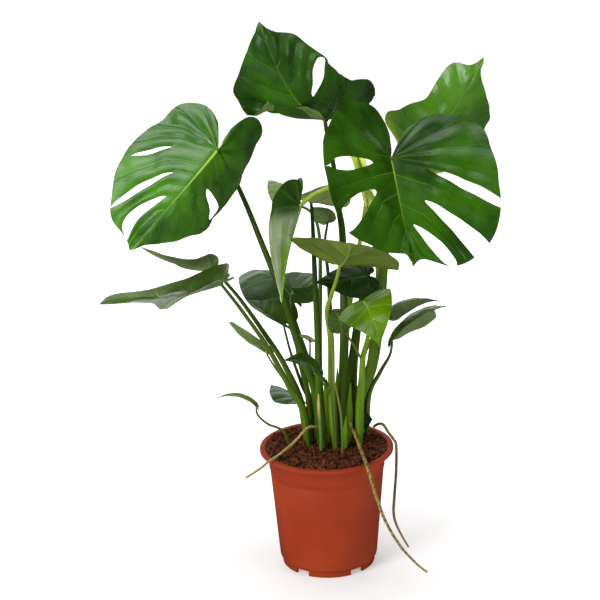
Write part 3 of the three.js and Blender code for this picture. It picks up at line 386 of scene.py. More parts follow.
def add_mesh(name, points, faces, materials, faces_of=None, maps=None, sharp=()):
    """A smooth mesh piece. maps holds one (u, v) per face corner for each named UV map."""
    mesh = bpy.data.meshes.new(name)
    places = (np.asarray(points, float) + AXIS) / 1000
    mesh.from_pydata(places.tolist(), [], faces)
    for material in materials:
        mesh.materials.append(material)
    if faces_of is not None:
        mesh.polygons.foreach_set("material_index", np.asarray(faces_of, np.int32))
    for key, corners in (maps or {}).items():
        layer = mesh.uv_layers.new(name=key)
        layer.data.foreach_set("uv", np.asarray(corners, np.float32).ravel())
    mesh.polygons.foreach_set("use_smooth", np.ones(len(mesh.polygons), bool))
    for edge in mesh.edges if sharp else ():
        edge.use_edge_sharp = tuple(sorted(edge.vertices)) in sharp
    mesh.validate()
    mesh.update()
    piece = bpy.data.objects.new(name, mesh)
    bpy.context.collection.objects.link(piece)
    return piece


def circle(count):
    return 2 * np.pi * np.arange(count) / count


def ring_faces(rings, sides):
    """The quads between each ring of points and the next."""
    return [(i * sides + k, i * sides + n, (i + 1) * sides + n, (i + 1) * sides + k)
            for i in range(rings) for k, n in next_on_ring(sides)]


def next_on_ring(sides):
    return [(k, (k + 1) % sides) for k in range(sides)]


def cap_faces(count, top, sides):
    """Triangles from the last two of count points to the first ring and the one at top."""
    low, high = count - 2, count - 1
    return [face for k, n in next_on_ring(sides)
            for face in ((low, n, k), (high, top + k, top + n))]


def tube(path, radii, sides, rings, shape=None):
    """Points, faces and (round, along) corners of a tapered tube with rounded ends."""
    t = np.linspace(0, 1, rings + 1)
    centre = value_along(path, t)
    along = unit(np.gradient(centre, axis=0))
    radius = value_along(radii, t)
    side = np.array(FIRST_SIDE)
    points = []
    angle = circle(sides)
    for i in range(rings + 1):
        side = unit(side - along[i] * (side @ along[i]))
        other = np.cross(along[i], side)
        r = radius[i] * (shape(angle, centre[i]) if shape else 1.0)
        ring = np.outer(r * np.cos(angle), side) + np.outer(r * np.sin(angle), other)
        points.append(centre[i] + ring)
    points = np.concatenate(points + [centre[:1] - along[:1] * radius[0] * FOOT_BULGE,
                                      centre[-1:] + along[-1:] * radius[-1] * TIP_BULGE])
    faces = ring_faces(rings, sides) + cap_faces(len(points), rings * sides, sides)
    corners = [(u / sides, t[j]) for i in range(rings) for k in range(sides)
               for u, j in ((k, i), (k + 1, i), (k + 1, i + 1), (k, i + 1))]
    for k in range(sides):
        corners += [(k / sides, 0)] * 3 + [(k / sides, 1)] * 3
    return points, faces, corners


def stalk_foot(angle, centre):
    """A stalk is slim where it leaves the soil and broad and grooved in its sheath above."""
    height = centre[2]
    size = 0.62 + 0.5 * smooth(*STALK_SWELLS, height) - 0.12 * smooth(*STALK_THINS, height)
    sheath = smooth(*SHEATH_OPENS, height) * (1 - smooth(*SHEATH_ENDS, height))
    return size * (1 + sheath * (0.16 * np.cos(2 * angle + 0.4) - 0.1 * np.cos(5 * angle)))


def flat_section(angle, centre):
    """A flat oval section, alike along the whole sheath."""
    turned = angle - OVAL_TURN
    return 1 / np.sqrt(np.cos(turned) ** 2 * OVAL_FLATNESS + np.sin(turned) ** 2)


# ---- leaf blades

class Blade:
    """The form of one blade: a fan of veins on an arched midrib, folded and curled.

    s runs along the midrib from 0 at the junction. t runs round half the outline from the sinus
    to the tip, and rho along a vein to the outline, each from 0 to 1."""

    def __init__(self, leaf):
        self.leaf = leaf
        self.junction = np.array(leaf["junction"], float)
        self.chord = np.array(leaf["tip"], float) - self.junction
        self.length = float(np.linalg.norm(self.chord))
        along = self.chord / self.length
        up = np.array(leaf["facing"], float)
        self.up = unit(up - along * (up @ along))
        self.side = np.cross(along, self.up)
        self.bow = (self.up * leaf.get("arch", 0) + self.side * leaf.get("sway", 0)) * self.length

    def outline(self, side):
        """The veins' lengths, as shares of the midrib's, from the sinus to the tip."""
        if "left" in self.leaf:
            return self.leaf["left" if side == 0 else "right"]
        width, rear = self.leaf["width"][side], self.leaf["rear"][side]
        return [h * width * (1 + (rear - 1) * max(1 - k / 4, 0)) for k, h in enumerate(HEART)]

    def midrib(self, s):
        """Place and axes on the midrib, which bows as 4 s (1 - s) and is straight behind 0."""
        s = np.asarray(s, float)[..., None]
        ahead = np.maximum(s, 0)
        slope = np.where(s < 0, 4.0, 4 - 8 * s)
        heading = self.chord + self.bow * slope
        place = (self.junction + self.chord * ahead + self.bow * 4 * ahead * (1 - ahead)
                 + heading * np.minimum(s, 0))
        along = unit(heading)
        up = unit(self.up - along * (along @ self.up)[..., None])
        return place, along, up, np.cross(along, up)

    def flat(self, side, t, rho):
        """Millimetres along the midrib and out from it, on the flat blade."""
        sinus = self.leaf.get("sinus", (SINUS, SINUS))[side]
        start = np.clip((t - WAIST) / (1 - WAIST), 0, 1)
        angle = np.radians(np.where(t < WAIST, sinus + (WAIST_ANGLE - sinus) * t / WAIST,
                                    WAIST_ANGLE + (TIP_ANGLE - WAIST_ANGLE) * start))
        corner = 1 - np.minimum(t / CORNER_SHARE, 1)
        reach = value_along(self.outline(side), t) * (1 - CORNER_ROUND * corner ** 2)
        drip = self.leaf.get("drip", 0) * np.clip((t - DRIP_FROM) / (1 - DRIP_FROM), 0, 1) ** 2
        q = reach * self.length * rho
        u = (start + drip) * self.length + q * np.cos(angle) + VEIN_BEND * q * q / self.length
        return u, q * np.sin(angle)

    def fold(self, side, u, v):
        """The flat blade's point on a half that is folded up and bends evenly outwards."""
        place, _, up, beside = self.midrib(u / self.length)
        fold = math.radians(self.leaf["fold"][side])
        bend = math.radians(self.leaf["curl"][side] or LEAST_CURL) / (0.5 * self.length)
        out = (np.sin(fold + bend * v) - math.sin(fold)) / bend
        above = (math.cos(fold) - np.cos(fold + bend * v)) / bend
        return place + beside * (out * MIRROR[side])[..., None] + up * above[..., None]

    def place(self, side, u, v):
        """The folded blade's point, turned about a line where a rear lobe is rolled over."""
        point = self.fold(side, u, v)
        rolled = self.leaf.get("rolled")
        if not rolled or rolled[0] != side:
            return point
        line, span, turn = np.radians(rolled[1:])
        reach = 0.5 * self.length
        far = self.fold(side, np.array(reach * math.cos(line)), np.array(reach * math.sin(line)))
        axis = unit(far - self.junction)
        share = smooth(0, 1, (np.arctan2(v, u) - line) / span)
        a = (turn * share * -MIRROR[side])[..., None]
        k = point - self.junction
        return (self.junction + k * np.cos(a) + np.cross(axis, k) * np.sin(a)
                + axis * (k @ axis)[..., None] * (1 - np.cos(a)))


def slit_edges(slit, rho):
    """Centre and half width of a slit at each share of the veins' length."""
    at, start, end, width, mouth, drift = slit
    x = np.clip((rho - start) / (end - start), 0, 1)
    half = width * ((1 - mouth) * np.sin(np.pi * x) ** 0.6 + mouth * np.sqrt(x))
    if end < 1:
        half = half * np.sqrt(1 - x ** 8)
    shut = (rho <= start) | ((rho >= end) & (end < 1))
    return at + drift * np.maximum(rho - start, 0), np.where(shut, 0, half)


def levels_of(slits, rows):
    """Rows across a half blade, closer together at the ends of its slits."""
    levels = [*np.linspace(0, 1, rows + 1), *RIB_ROWS]
    for _, start, end, *_ in slits:
        shares = SLIT_START_ROWS + (SLIT_END_ROWS if end < 1 else [])
        levels += [start + (end - start) * share for share in shares]
    levels = sorted(levels)
    rho = [r for i, r in enumerate(levels) if i == 0 or r - levels[i - 1] > LEAST_ROW]
    rho[-1] = 1.0
    return np.array(rho)


def fingers_of(slits, starts):
    """The lobes between slits: their ends, the columns in them and the slits beside them."""
    ends = [0.0, *sorted(slit[0] for slit in slits), 1.0]
    for a, b in zip(ends, ends[1:]):
        inside = np.flatnonzero((starts > a - 1e-9) & (starts < b + 1e-9))
        beside = [next((s for s in slits if s[0] == at), None) for at in (a, b)]
        yield a, b, starts[inside], beside


def relief_across(cells, count, reach, off, cut_low, cut_high):
    """The form across a lobe: a groove at each vein, puffed up between, lower at a cut edge."""
    groove = 1 - np.exp(-((off * reach[:, None] / GROOVE_WIDTH) ** 2))
    pillow = np.sin(np.pi * off)[None, :] ** 2
    rim = np.ones_like(cells)
    if cut_low:
        rim = np.minimum(rim, smooth(*RIM_CELLS, cells))
    if cut_high:
        rim = np.minimum(rim, smooth(*RIM_CELLS, count - cells))
    return 0.45 * groove + 0.75 * pillow, rim[None, :]


def waves_over(u, v, side):
    """Slow waves over the whole blade."""
    return (np.sin(0.055 * u + 0.03 * v + 2 * side) * np.cos(0.06 * v - 0.02 * u)
            + 0.5 * np.sin(0.12 * v + 0.1 * u + side))


def blade_sheet(blade, cell, step, rows, relief):
    """The blade's middle surface: points, heights, faces and corner maps.

    A side vein runs along the middle of each cell, and the midrib lies in a channel. The map fan
    holds (t, rho). The map vein holds the distances to the side vein and to the midrib, the
    latter in widths of the midrib."""
    slits = blade.leaf.get("slits", ([], []))
    cuts = sorted({0.0, WAIST, 1.0, *[s[0] for side in slits for s in side]})
    starts = [np.linspace(a, b, max(2, round((b - a) / step)) + 1)[:-1]
              for a, b in zip(cuts, cuts[1:])]
    starts = np.concatenate(starts + [[1.0]])
    points, heights, weights, known = [], [], [], {}
    faces, maps = [], {"fan": [], "vein": []}
    for side in (0, 1):
        rho = levels_of(slits[side], rows)
        for a, b, columns, beside in fingers_of(slits[side], starts):
            count = max(1, round((b - a) / cell))
            share = (columns - a) / (b - a)
            low = np.add(*slit_edges(beside[0], rho)) if beside[0] else np.full(rho.shape, a)
            high = np.subtract(*slit_edges(beside[1], rho)) if beside[1] else np.full(rho.shape, b)
            t = low[:, None] + (high - low)[:, None] * share[None, :]
            r = np.broadcast_to(rho[:, None], t.shape)
            u, v = blade.flat(side, t, r)
            reach = np.hypot(np.diff(u, axis=1), np.diff(v, axis=1)).sum(1) / count
            cells = share * count
            own = np.clip(np.floor((cells[:-1] + cells[1:]) / 2), 0, count - 1) + 0.5
            off = np.abs(cells - np.clip(np.floor(cells), 0, count - 1) - 0.5)
            form, rim = relief_across(cells, count, reach, off, beside[0] or a == 0,
                                      beside[1] or b == 1)
            grow = smooth(0, 0.25, r) * (1 - 0.6 * smooth(0.7, 1, r))
            from_rib = np.where(u > 0, v, np.hypot(u, v))
            taper = 1 - 0.7 * np.clip(u / blade.length, 0, 1)
            rib_width = RIB_WIDTH * blade.length / 200 * taper
            height = (relief * form * grow * rim
                      + 0.5 * relief * waves_over(u, v, side) * smooth(0.1, 0.5, r)
                      - 0.4 * relief * np.exp(-((from_rib / (2.4 * rib_width)) ** 2)))
            spot = blade.place(side, u, v)
            index = np.empty(t.shape, int)
            for i, j in np.ndindex(t.shape):
                key = (round(float(u[i, j]), 2), round(float(v[i, j]) * MIRROR[side], 2))
                at = known.setdefault(key, len(points))
                if at == len(points):
                    points.append(spot[i, j])
                    heights.append(0.0)
                    weights.append(0)
                heights[at] += height[i, j]
                weights[at] += 1
                index[i, j] = at
            ribbed = from_rib / rib_width
            for i, j in np.ndindex(len(rho) - 1, len(columns) - 1):
                quad = [(i, j), (i, j + 1), (i + 1, j + 1), (i + 1, j)]
                if side == 1:
                    quad.reverse()
                corners = [int(index[p]) for p in quad]
                keep = [k for k in range(4) if corners[k] != corners[k - 1]]
                if len({corners[k] for k in keep}) < 3:
                    continue
                faces.append(tuple(corners[k] for k in keep))
                middle = (t[i + 1, j] + t[i + 1, j + 1]) / 2
                for k in keep:
                    p = quad[k]
                    turn = middle if r[p] == 0 and t[p] < WAIST else t[p]
                    maps["fan"].append((turn, r[p]))
                    maps["vein"].append(((cells[p[1]] - own[j]) * reach[p[0]], ribbed[p]))
    return np.array(points), np.array(heights) / np.maximum(weights, 1), faces, maps


def normals_of(points, faces):
    """Each point's normal, from the triangles and quads round it, larger ones counting more."""
    total = np.zeros_like(points)
    for size in (3, 4):
        ring = np.array([f for f in faces if len(f) == size])
        if not len(ring):
            continue
        p = points[ring]
        if size == 4:
            n = np.cross(p[:, 2] - p[:, 0], p[:, 3] - p[:, 1])
        else:
            n = np.cross(p[:, 1] - p[:, 0], p[:, 2] - p[:, 0])
        for k in range(size):
            np.add.at(total, ring[:, k], n)
    size = np.linalg.norm(total, axis=1, keepdims=True)
    return total / np.where(size > 0, size, 1)


def thick_sheet(points, faces, maps, thickness):
    """Both faces of a sheet and the wall along its edge, with sharp edges; material 0 above, 1
    below. The new faces' corners are added to the maps."""
    offset = normals_of(points, faces) * thickness / 2
    count = len(points)
    out, which = list(faces), [0] * len(faces)
    edges, at = {}, 0
    for face in faces:
        size = len(face)
        for corners in maps.values():
            corners += corners[at:at + size][::-1]
        out.append(tuple(count + p for p in face[::-1]))
        which.append(1)
        for k, n in next_on_ring(size):
            edges[(face[k], face[n])] = (at + k, at + n)
        at += size
    sharp = set()
    for (a, b), (ka, kb) in edges.items():
        if (b, a) in edges:
            continue
        sharp |= {(min(a, b), max(a, b)), (count + min(a, b), count + max(a, b))}
        out.append((a, count + a, count + b, b))
        which.append(0)
        for corners in maps.values():
            corners += [corners[ka]] * 2 + [corners[kb]] * 2
    return np.concatenate([points + offset, points - offset]), out, which, sharp


# ---- materials

class Nodes:
    """A short way to write a material's node tree."""

    def __init__(self, name):
        self.material = bpy.data.materials.new(name)
        self.material.use_nodes = True
        self.tree = self.material.node_tree
        self.tree.nodes.clear()
        self.shader = self.tree.nodes.new("ShaderNodeBsdfPrincipled")
        output = self.tree.nodes.new("ShaderNodeOutputMaterial")
        self.tree.links.new(self.shader.outputs[0], output.inputs[0])

    def put(self, node, key, value):
        if isinstance(value, bpy.types.NodeSocket):
            self.tree.links.new(value, node.inputs[key])
        else:
            node.inputs[key].default_value = value

    def add(self, kind, inputs=(), out=0, **settings):
        node = self.tree.nodes.new("ShaderNode" + kind)
        for key, value in settings.items():
            setattr(node, key, value)
        for key, value in dict(inputs).items():
            self.put(node, key, value)
        return node.outputs[out]

    def math(self, operation, a, b=0.0):
        return self.add("Math", {0: a, 1: b}, operation=operation)

    def times(self, a, b):
        return self.math("MULTIPLY", a, b)

    def plus(self, a, b):
        return self.math("ADD", a, b)

    def ramp(self, value, a, b, low=0.0, high=1.0):
        """Goes from low to high as the value goes from a to b."""
        return self.add("MapRange", {"Value": value, "From Min": a, "From Max": b, "To Min": low,
                                     "To Max": high}, interpolation_type="SMOOTHSTEP")

    def mix(self, share, a, b):
        node = self.tree.nodes.new("ShaderNodeMix")
        node.data_type = "RGBA"
        for key, value in ((0, share), (6, a), (7, b)):
            self.put(node, key, value)
        return node.outputs[2]

    def tint(self, color, tone, mask, a, b, most=1.0):
        """Brings a tone in over a colour as the mask goes from a to b."""
        return self.mix(self.ramp(mask, a, b, 0.0, most), color, tone)

    def noise(self, scale, detail=3.0, vector=None, roughness=0.55):
        vector = self.place() if vector is None else vector
        return self.add("TexNoise", {"Vector": vector, "Scale": scale, "Detail": detail,
                                     "Roughness": roughness})

    def streaks(self, u, v, across, along, detail=3.0):
        """Noise over a UV map, with so many spots to its width and its height."""
        spread = {0: self.times(u, across), 1: self.times(v, along), 2: 0.0}
        return self.noise(1.0, detail, self.add("CombineXYZ", spread))

    def sheen(self, scale, low, high, detail=3.0):
        """A roughness that drifts between two values."""
        return self.ramp(self.noise(scale, detail), 0.3, 0.7, low, high)

    def place(self):
        return self.add("TexCoord", out=3)

    def uv(self, name):
        split = self.add("SeparateXYZ", {0: self.add("UVMap", uv_map=name)})
        return split, split.node.outputs[1]

    def bump(self, height, distance, strength):
        return self.add("Bump", {"Height": height, "Distance": distance, "Strength": strength})

    def finish(self, **sockets):
        names = {"color": "Base Color", "roughness": "Roughness", "normal": "Normal",
                 "specular": "Specular IOR Level", "emission": "Emission Color",
                 "glow": "Emission Strength"}
        for key, value in sockets.items():
            self.put(self.shader, names[key], value)
        return self.material


def paint_hanging_sheen(m, color, t, rho):
    """Painted sheen on the hanging leaf: grey creases, green by the midrib, a dark rear lobe."""
    # Pale grey creases of painted sheen.
    sheen_creases = m.streaks(t, rho, 4.0, 9.0)
    color = m.tint(color, srgb((176, 190, 156)), sheen_creases, 0.35, 0.65)
    near = m.times(m.ramp(rho, 0.3, 0.75, 1.0, 0.0), m.ramp(t, 0.52, 0.75))
    color = m.mix(near, color, srgb((96, 142, 26)))
    bound = m.plus(t, m.times(m.math("SUBTRACT", 0.5, sheen_creases), 0.12))
    return m.mix(m.ramp(bound, 0.42, 0.5, 1.0, 0.0), color, srgb((40, 82, 2)))


def leaf_grain(m, t, rho, fine, away, lower):
    """Fine streaks, wrinkles and pores, and a groove that shows as a ridge from below."""
    wrinkles = m.streaks(t, rho, 26.0, 22.0)
    groove = m.ramp(away, 0.0, 1.8, -1.0 if lower else 1.0, 0.0)
    height = m.plus(m.times(fine, 0.6), m.times(wrinkles, 0.55))
    height = m.plus(height, m.times(m.noise(800.0, 2.0), 0.12))
    height = m.math("SUBTRACT", height, m.times(groove, 0.9))
    return m.bump(height, 0.0009, 0.7)


def leaf_face(kind, lower):
    upper, patches, under, rib, lines = GREENS[kind]
    m = Nodes(f"leaf_{kind}_{'lower' if lower else 'upper'}")
    t, rho = m.uv("fan")
    gap, ribbed = m.uv("vein")
    base = under if lower else upper
    shade = srgb([c * 0.82 for c in base] if lower else patches)
    light = srgb([min(255, c * 1.2 + 6) for c in base])
    color = m.tint(shade, srgb(base), m.noise(11.0), 0.36, 0.64)
    fine = m.streaks(t, rho, 110.0, 3.0)
    color = m.tint(color, light, fine, 0.5, 0.8, 0.3)
    color = m.tint(color, shade, m.noise(90.0, 4.0), 0.5, 0.75, 0.25)
    # The hanging leaf gets painted sheen and a dark rear lobe.
    if kind == "hanging":
        color = paint_hanging_sheen(m, color, t, rho)
    away = m.math("ABSOLUTE", gap)
    near = m.times(m.ramp(away, 0.4, 5.0, 0.12, 0.0), m.ramp(rho, 0.1, 0.9, 1.0, 0.2))
    color = m.mix(near, color, light)
    line = m.times(m.ramp(away, 0.25, 0.9, 1.0, 0.0),
                   m.ramp(rho, 0.1, 0.75, lines, 0.2 if lower else 0.0))
    color = m.mix(line, color, srgb(rib))
    color = m.mix(m.ramp(ribbed, 0.6, 1.9, 0.3, 0.0), color, srgb(rib))
    # Painted light shining through: paler yellow-green towards the outline of the rear lobes.
    if kind in SHINE_THROUGH_MARGINS:
        edge = m.times(m.ramp(rho, 0.55, 1.0, 0.0, 0.8), m.ramp(t, 0.2, 0.45, 1.0, 0.0))
        color = m.mix(edge, color, srgb(SHINE_THROUGH_MARGINS[kind]))
    dullness = (0.42, 0.56) if lower else (0.25, 0.37)
    return m.finish(color=color, roughness=m.sheen(24.0, *dullness),
                    specular=0.35 if lower else SPECULAR.get(kind, 0.5),
                    normal=leaf_grain(m, t, rho, fine, away, lower))


def rib_skin(kind):
    m = Nodes(f"rib_{kind}")
    upper, _, _, tone, _ = GREENS[kind]
    end = srgb([0.35 * a + 0.65 * b for a, b in zip(tone, upper)])
    around, along = m.uv("round")
    color = m.tint(srgb(tone), end, along, 0.1, 0.85)
    streaks = m.streaks(along, around, 30.0, 1.0, 2.0)
    color = m.tint(color, end, streaks, 0.4, 0.7, 0.35)
    return m.finish(color=color, roughness=m.sheen(40.0, 0.4, 0.55),
                    normal=m.bump(streaks, 0.0003, 0.4))


def stalk_skin(kind):
    low, high = STALKS[kind]
    m = Nodes(f"stalk_{kind}")
    around, along = m.uv("round")
    color = m.tint(srgb(low), srgb(high), along, 0.05, 0.6)
    stripes = m.streaks(around, along, 14.0, 6.0, 2.0)
    color = m.tint(color, srgb([min(255, c * 1.3 + 4) for c in high]), stripes, 0.35, 0.7, 0.4)
    color = m.tint(color, srgb((112, 110, 52)), m.noise(60.0), 0.62, 0.75, 0.35)
    return m.finish(color=color, roughness=m.sheen(25.0, 0.3, 0.44), specular=0.22,
                    normal=m.bump(stripes, 0.0006, 0.6))


def woody_skin(name, color, dark, foot=None):
    m = Nodes(name)
    around, along = m.uv("round")
    rings = m.streaks(around, along, 5.0, 70.0)
    mixed = m.tint(srgb(dark), srgb(color), rings, 0.35, 0.7)
    mixed = m.tint(mixed, srgb([c * 0.7 for c in dark]), m.noise(70.0), 0.55, 0.75, 0.5)
    if foot:
        mixed = m.tint(srgb(foot), mixed, along, 0.45, 0.8)
    return m.finish(color=mixed, roughness=0.7, normal=m.bump(rings, 0.0008, 0.7))


def pot_plastic():
    m = Nodes("pot_plastic")
    tone = m.tint(srgb((140, 44, 10)), srgb((156, 54, 16)), m.noise(7.0, 2.0), 0.35, 0.68)
    scuffs = m.noise(1.0, 5.0, m.add("Mapping", {"Vector": m.place(), "Scale": (60, 60, 240)}))
    tone = m.tint(tone, srgb((176, 86, 50)), scuffs, 0.6, 0.82, 0.25)
    # The rim, which hands rub, is duller than the wall.
    height = m.add("SeparateXYZ", {0: m.place()}, out=2)
    rough = m.plus(m.sheen(22.0, 0.36, 0.46, 4.0), m.ramp(height, 0.18, 0.189, 0.0, 0.3))
    return m.finish(color=tone, roughness=rough, specular=0.22,
                    normal=m.bump(m.noise(900.0), 0.0003, 0.3))


def potting_mix():
    m = Nodes("potting_mix")
    # Darker where the bump sinks: partly the soil's own dark grains, partly painted shade in the
    # hollows.
    lumps = m.noise(105.0, 6.0, roughness=0.75)
    tone = m.tint(srgb((22, 7, 2)), srgb((116, 60, 32)), lumps, 0.38, 0.64)
    tone = m.tint(tone, srgb((150, 92, 56)), m.noise(330.0, 2.0), 0.56, 0.7, 0.6)
    return m.finish(color=tone, roughness=0.95, specular=0.2, normal=m.bump(lumps, 0.003, 0.8))


FACES = {kind: (leaf_face(kind, False), leaf_face(kind, True)) for kind in GREENS}
RIBS = {kind: rib_skin(kind) for kind in GREENS}
SKINS = {kind: stalk_skin(kind) for kind in STALKS}


# ---- pieces

def dress(piece, slot_name, *nodes):
    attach(piece, "root")
    if nodes:
        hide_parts(*nodes)


def add_tube(name, slot_name, skin, path, radii, *form, nodes=()):
    points, faces, corners = tube(path, radii, *form)
    dress(add_mesh(name, points, faces, [skin], maps={"round": corners}), slot_name, *nodes)


def add_leaf(leaf, name, slot_name, nodes=()):
    """Blade, stalk and raised midrib of a leaf, and the side leaves on its stalk."""
    blade = Blade(leaf)
    grid, relief_share, thickness = SHEETS[leaf.get("size", "usual")]
    relief = blade.length * relief_share
    points, heights, faces, maps = blade_sheet(blade, *grid, relief)
    points = points + normals_of(points, faces) * heights[:, None]
    points, faces, which, sharp = thick_sheet(points, faces, maps, thickness)
    piece = add_mesh(name + "_blade", points, faces, FACES[leaf["kind"]], which, maps, sharp)
    dress(piece, slot_name, *nodes)

    path = [*leaf["petiole"], leaf["junction"]]
    radii = leaf["radii"]
    foot = stalk_foot if radii[0] >= THICK_RADIUS else None
    add_tube(name + "_stalk", slot_name, SKINS[leaf.get("stalk", "mid")], path, radii,
             20 if radii[0] > 4 else 12, 12 * len(path), foot)

    s = np.array(RIB_PLACES)
    place, _, up, _ = blade.midrib(s)
    radius = 0.75 * radii[-1] * (1 - np.clip(s, 0, 1)) ** 1.25
    stands = 0.3 + 0.2 * radius
    sunk = 0.4 * relief - thickness / 2 + radius - stands
    add_tube(name + "_rib", slot_name, RIBS[leaf["kind"]], place - up * sunk[:, None], radius,
             12, 40)
    for i, shoot in enumerate(SIDE_LEAVES.get(name, [])):
        add_leaf(shoot, f"{name}_side{i + 1}", slot_name)


def add_crown():
    """Green sheaths, in one piece, that rise from the soil between the stalks."""
    points, faces, corners = [], [], []
    for x, y, lean, back, height, width in CROWN:
        foot, reach = np.array([x, y, SOIL_LEVEL - CROWN_DEPTH]), np.array([lean, back, height])
        path = [foot + reach * (side, side, rise) for side, rise in CROWN_RISE]
        more, ring, maps = tube(path, width * np.array(CROWN_WIDTHS), 16, 30, flat_section)
        faces += [tuple(len(points) + p for p in face) for face in ring]
        points += more.tolist()
        corners += maps
    piece = add_mesh("crown_sheaths", points, faces, [SKINS["shoot"]], maps={"round": corners})
    dress(piece, "leaf_light_green")


def foot_segment(middle, first):
    """One of the segments that the pot stands on; its points are numbered from first."""
    half = math.pi / FOOT_COUNT - FOOT_NOTCH
    sweep = np.linspace(middle - half, middle + half, FOOT_STEPS)
    arc = [(r * math.cos(a), r * math.sin(a), z) for a in sweep for r, z in FOOT_SECTION]
    size = len(FOOT_SECTION)
    faces = [(a + j, a + n, a + size + n, a + size + j)
             for a in range(first, first + (FOOT_STEPS - 1) * size, size)
             for j, n in next_on_ring(size)]
    faces.append(tuple(first + j for j in range(size))[::-1])
    faces.append(tuple(first + (FOOT_STEPS - 1) * size + j for j in range(size)))
    return arc, faces


def add_pot():
    angle = circle(POT_SIDES)
    ring = np.stack([np.cos(angle), np.sin(angle)], 1)
    rings = [np.column_stack([ring * radius, np.full(POT_SIDES, level)])
             for radius, level in POT_PROFILE[1:-1]]
    low, high = POT_PROFILE[0][1], POT_PROFILE[-1][1]
    points = np.concatenate(rings + [[[0, 0, low]], [[0, 0, high]]])
    last = len(rings) - 1
    faces = ring_faces(last, POT_SIDES) + cap_faces(len(points), last * POT_SIDES, POT_SIDES)
    for i in range(FOOT_COUNT):
        arc, more = foot_segment(math.radians(-90 + 360 / FOOT_COUNT * i), len(points))
        points = np.concatenate([points, arc])
        faces += more
    piece = add_mesh("pot_shell", points, faces, [pot_plastic()])
    for polygon in piece.data.polygons:
        if len(polygon.vertices) > 4:
            polygon.use_smooth = False
    modifier = piece.modifiers.new("edges", "EDGE_SPLIT")
    modifier.split_angle = EDGE_TURN
    dress(piece, "pot_plastic", "pot")


def soil_height(x, y):
    """A low dome with lumps."""
    return (SOIL_LEVEL + SOIL_DOME * (1 - (np.hypot(x, y) / SOIL_RADIUS) ** 2)
            + 1.1 * np.sin(0.19 * x + 1.3) * np.cos(0.17 * y + 0.4)
            + 0.55 * (np.sin(0.43 * x + 0.31 * y + 0.7) + np.cos(0.37 * x - 0.41 * y)))


def add_soil_bed(rng, mix):
    rings, sides = 60, 150
    radius = SOIL_RADIUS * np.linspace(0, 1, rings + 1)[1:] ** 0.9
    r, a = np.meshgrid(radius, circle(sides), indexing="ij")
    x, y = r * np.cos(a), r * np.sin(a)
    z = soil_height(x, y) + SOIL_GRAIN * rng.standard_normal(x.shape)
    points = np.column_stack([x.ravel(), y.ravel(), z.ravel()])
    points = np.concatenate([points, [[0, 0, SOIL_LEVEL + SOIL_DOME]]])
    faces = [(a, d, c, b) for a, b, c, d in ring_faces(rings - 1, sides)]
    faces += [(len(points) - 1, k, n) for k, n in next_on_ring(sides)]
    dress(add_mesh("soil_surface", points, faces, [mix]), "potting_mix", "soil")


def add_crumbs(rng, mix):
    """Chips of bark and crumbs of coir that lie all over the soil."""
    points, faces = [], []
    box = np.array([(i, j, k) for i in (-1, 1) for j in (-1, 1) for k in (-1, 1)], float)
    sides = [(0, 1, 3, 2), (4, 6, 7, 5), (0, 4, 5, 1), (2, 3, 7, 6), (0, 2, 6, 4), (1, 5, 7, 3)]
    for _ in range(CRUMB_COUNT):
        away = (SOIL_RADIUS - 0.5) * math.sqrt(rng.random())
        angle = rng.random() * 2 * math.pi
        x, y = away * math.cos(angle), away * math.sin(angle)
        size = np.array([rng.uniform(*sizes) for sizes in CRUMB_SIZES])
        corners = box * size * (1 + 0.35 * (rng.random(box.shape) - 0.5))
        turn = np.array(Matrix.Rotation(rng.random() * 6.28, 3, "Z")
                        @ Matrix.Rotation(rng.normal() * 0.5, 3, "X")
                        @ Matrix.Rotation(rng.normal() * 0.5, 3, "Y"))
        start = len(points)
        spot = [x, y, soil_height(x, y) + rng.uniform(*CRUMB_LIFT)]
        points += (corners @ turn.T + spot).tolist()
        faces += [tuple(start + c for c in f) for f in sides]
    crumbs = add_mesh("soil_crumbs", points, faces, [mix])
    crumbs.data.polygons.foreach_set("use_smooth", np.zeros(len(crumbs.data.polygons), bool))
    dress(crumbs, "potting_mix")


for entry in LEAVES:
    add_leaf(entry, entry["name"], entry["slot"], (entry["name"],))
for entry in ROOTS + SHEATHS:
    name, path = entry["name"], entry["path"]
    skin = woody_skin(name + "_skin", entry["color"], entry["dark"], entry.get("foot"))
    add_tube(name + "_skin", entry["slot"], skin, path, entry["radii"], 12, 14 * len(path),
             nodes=(name,))
add_crown()
add_pot()
soil_rng, soil_mix = np.random.default_rng(7), potting_mix()
add_soil_bed(soil_rng, soil_mix)
add_crumbs(soil_rng, soil_mix)

# ---- floor, light and camera

FOCAL, SENSOR, SIGHT = 108.0, 36.0, 1000
CAMERA_AT = np.array([-35.7, -2624.0, 1283.0])
PITCH, ROLL = math.radians(17.9), math.radians(-1.5)
ROOM_LIGHT, ROOM_GLOSS = 0.34, 0.03
FLOOR_REACH = 400000.0
FLOOR_NEAR, FLOOR_FAR = 0.36, 0.9

# Softboxes: name, place, what they face, width and height, in metres, and power in watts.
LIGHTS = [
    ("key", (-1.7, -1.8, 1.7), (0, 0, 0.5), (1.0, 1.7), 70),
    ("side", (2.0, -1.2, 1.5), (0, 0, 0.5), (0.8, 1.4), 11),
    ("top", (0.0, 0.2, 2.5), (0, 0, 0.4), (1.8, 1.4), 32),
    ("back", (-0.4, 2.6, 1.6), (0, 0, 0.5), (3.6, 1.8), 42),
]


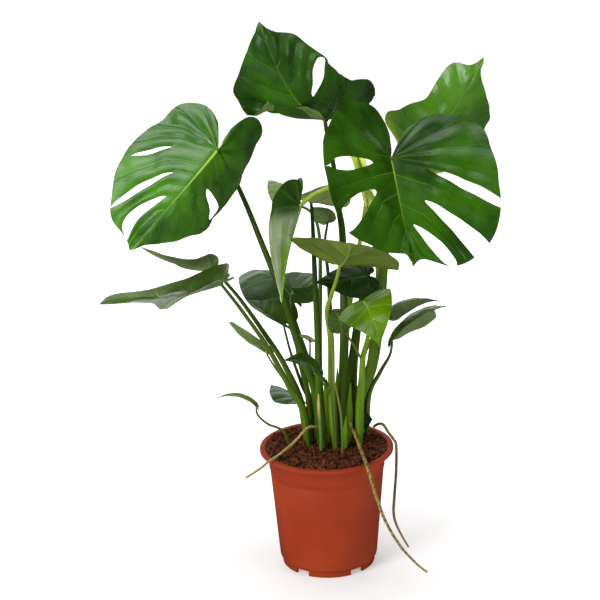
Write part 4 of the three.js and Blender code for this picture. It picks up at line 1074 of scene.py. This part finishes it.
def add_floor():
    """A pale floor that glows more away from the plant, and looks dark in glossy surfaces."""
    m = Nodes("floor")
    in_gloss = m.add("LightPath").node.outputs["Is Glossy Ray"]
    away = m.add("VectorMath", {0: m.place()}, out=1, operation="LENGTH")
    glow = m.times(m.ramp(away, 0.1, 1.0, FLOOR_NEAR, FLOOR_FAR), m.ramp(in_gloss, 0, 1, 1, 0))
    grey = m.tint((0.59, 0.59, 0.59, 1), (0.61, 0.61, 0.61, 1), m.noise(3.0), 0.3, 0.7)
    m.finish(color=m.mix(in_gloss, grey, (0.06, 0.06, 0.06, 1)), roughness=0.9, specular=0.0,
             emission=(1, 1, 1, 1), glow=glow)
    corners = FLOOR_REACH * np.array([(-1, -1, 0), (1, -1, 0), (1, 1, 0), (-1, 1, 0)])
    floor = add_mesh("floor", corners, [(0, 1, 2, 3)], [m.material])


def add_light(name, place, target, size, power):
    light = bpy.data.lights.new(name, "AREA")
    light.shape = "RECTANGLE"
    light.size, light.size_y = size
    light.energy = power
    lamp = bpy.data.objects.new(name, light)
    lamp.location = place
    lamp.visible_camera = False
    lamp.rotation_euler = (Vector(target) - Vector(place)).to_track_quat("-Z", "Y").to_euler()
    bpy.context.collection.objects.link(lamp)


def add_world():
    """An even pale room that a glossy surface sees as dim, so that only softboxes shine."""
    world = bpy.data.worlds.new("studio")
    bpy.context.scene.world = world
    world.use_nodes = True
    tree = world.node_tree
    background = tree.nodes["Background"]
    background.inputs[0].default_value = (1, 1, 1, 1)
    path = tree.nodes.new("ShaderNodeLightPath")
    level = tree.nodes.new("ShaderNodeMapRange")
    level.inputs["To Min"].default_value = ROOM_LIGHT
    level.inputs["To Max"].default_value = ROOM_GLOSS
    tree.links.new(path.outputs["Is Glossy Ray"], level.inputs["Value"])
    tree.links.new(level.outputs[0], background.inputs[1])


def add_camera():
    camera = bpy.data.cameras.new("camera")
    camera.lens, camera.sensor_width = FOCAL, SENSOR
    camera.sensor_fit = "HORIZONTAL"
    camera.clip_end = SIGHT
    seen = bpy.data.objects.new("camera", camera)
    ahead = Vector((0, math.cos(PITCH), -math.sin(PITCH)))
    right = Vector((1, 0, 0))
    up = right.cross(ahead)
    x = right * math.cos(ROLL) + up * math.sin(ROLL)
    y = up * math.cos(ROLL) - right * math.sin(ROLL)
    turn = Matrix((x, y, -ahead)).transposed().to_4x4()
    seen.matrix_world = Matrix.Translation(Vector((CAMERA_AT + AXIS) / 1000)) @ turn
    bpy.context.collection.objects.link(seen)
    bpy.context.scene.camera = seen


add_floor()
add_world()
for light in LIGHTS:
    add_light(*light)
add_camera()
bpy.context.scene.view_settings.view_transform = "Standard"
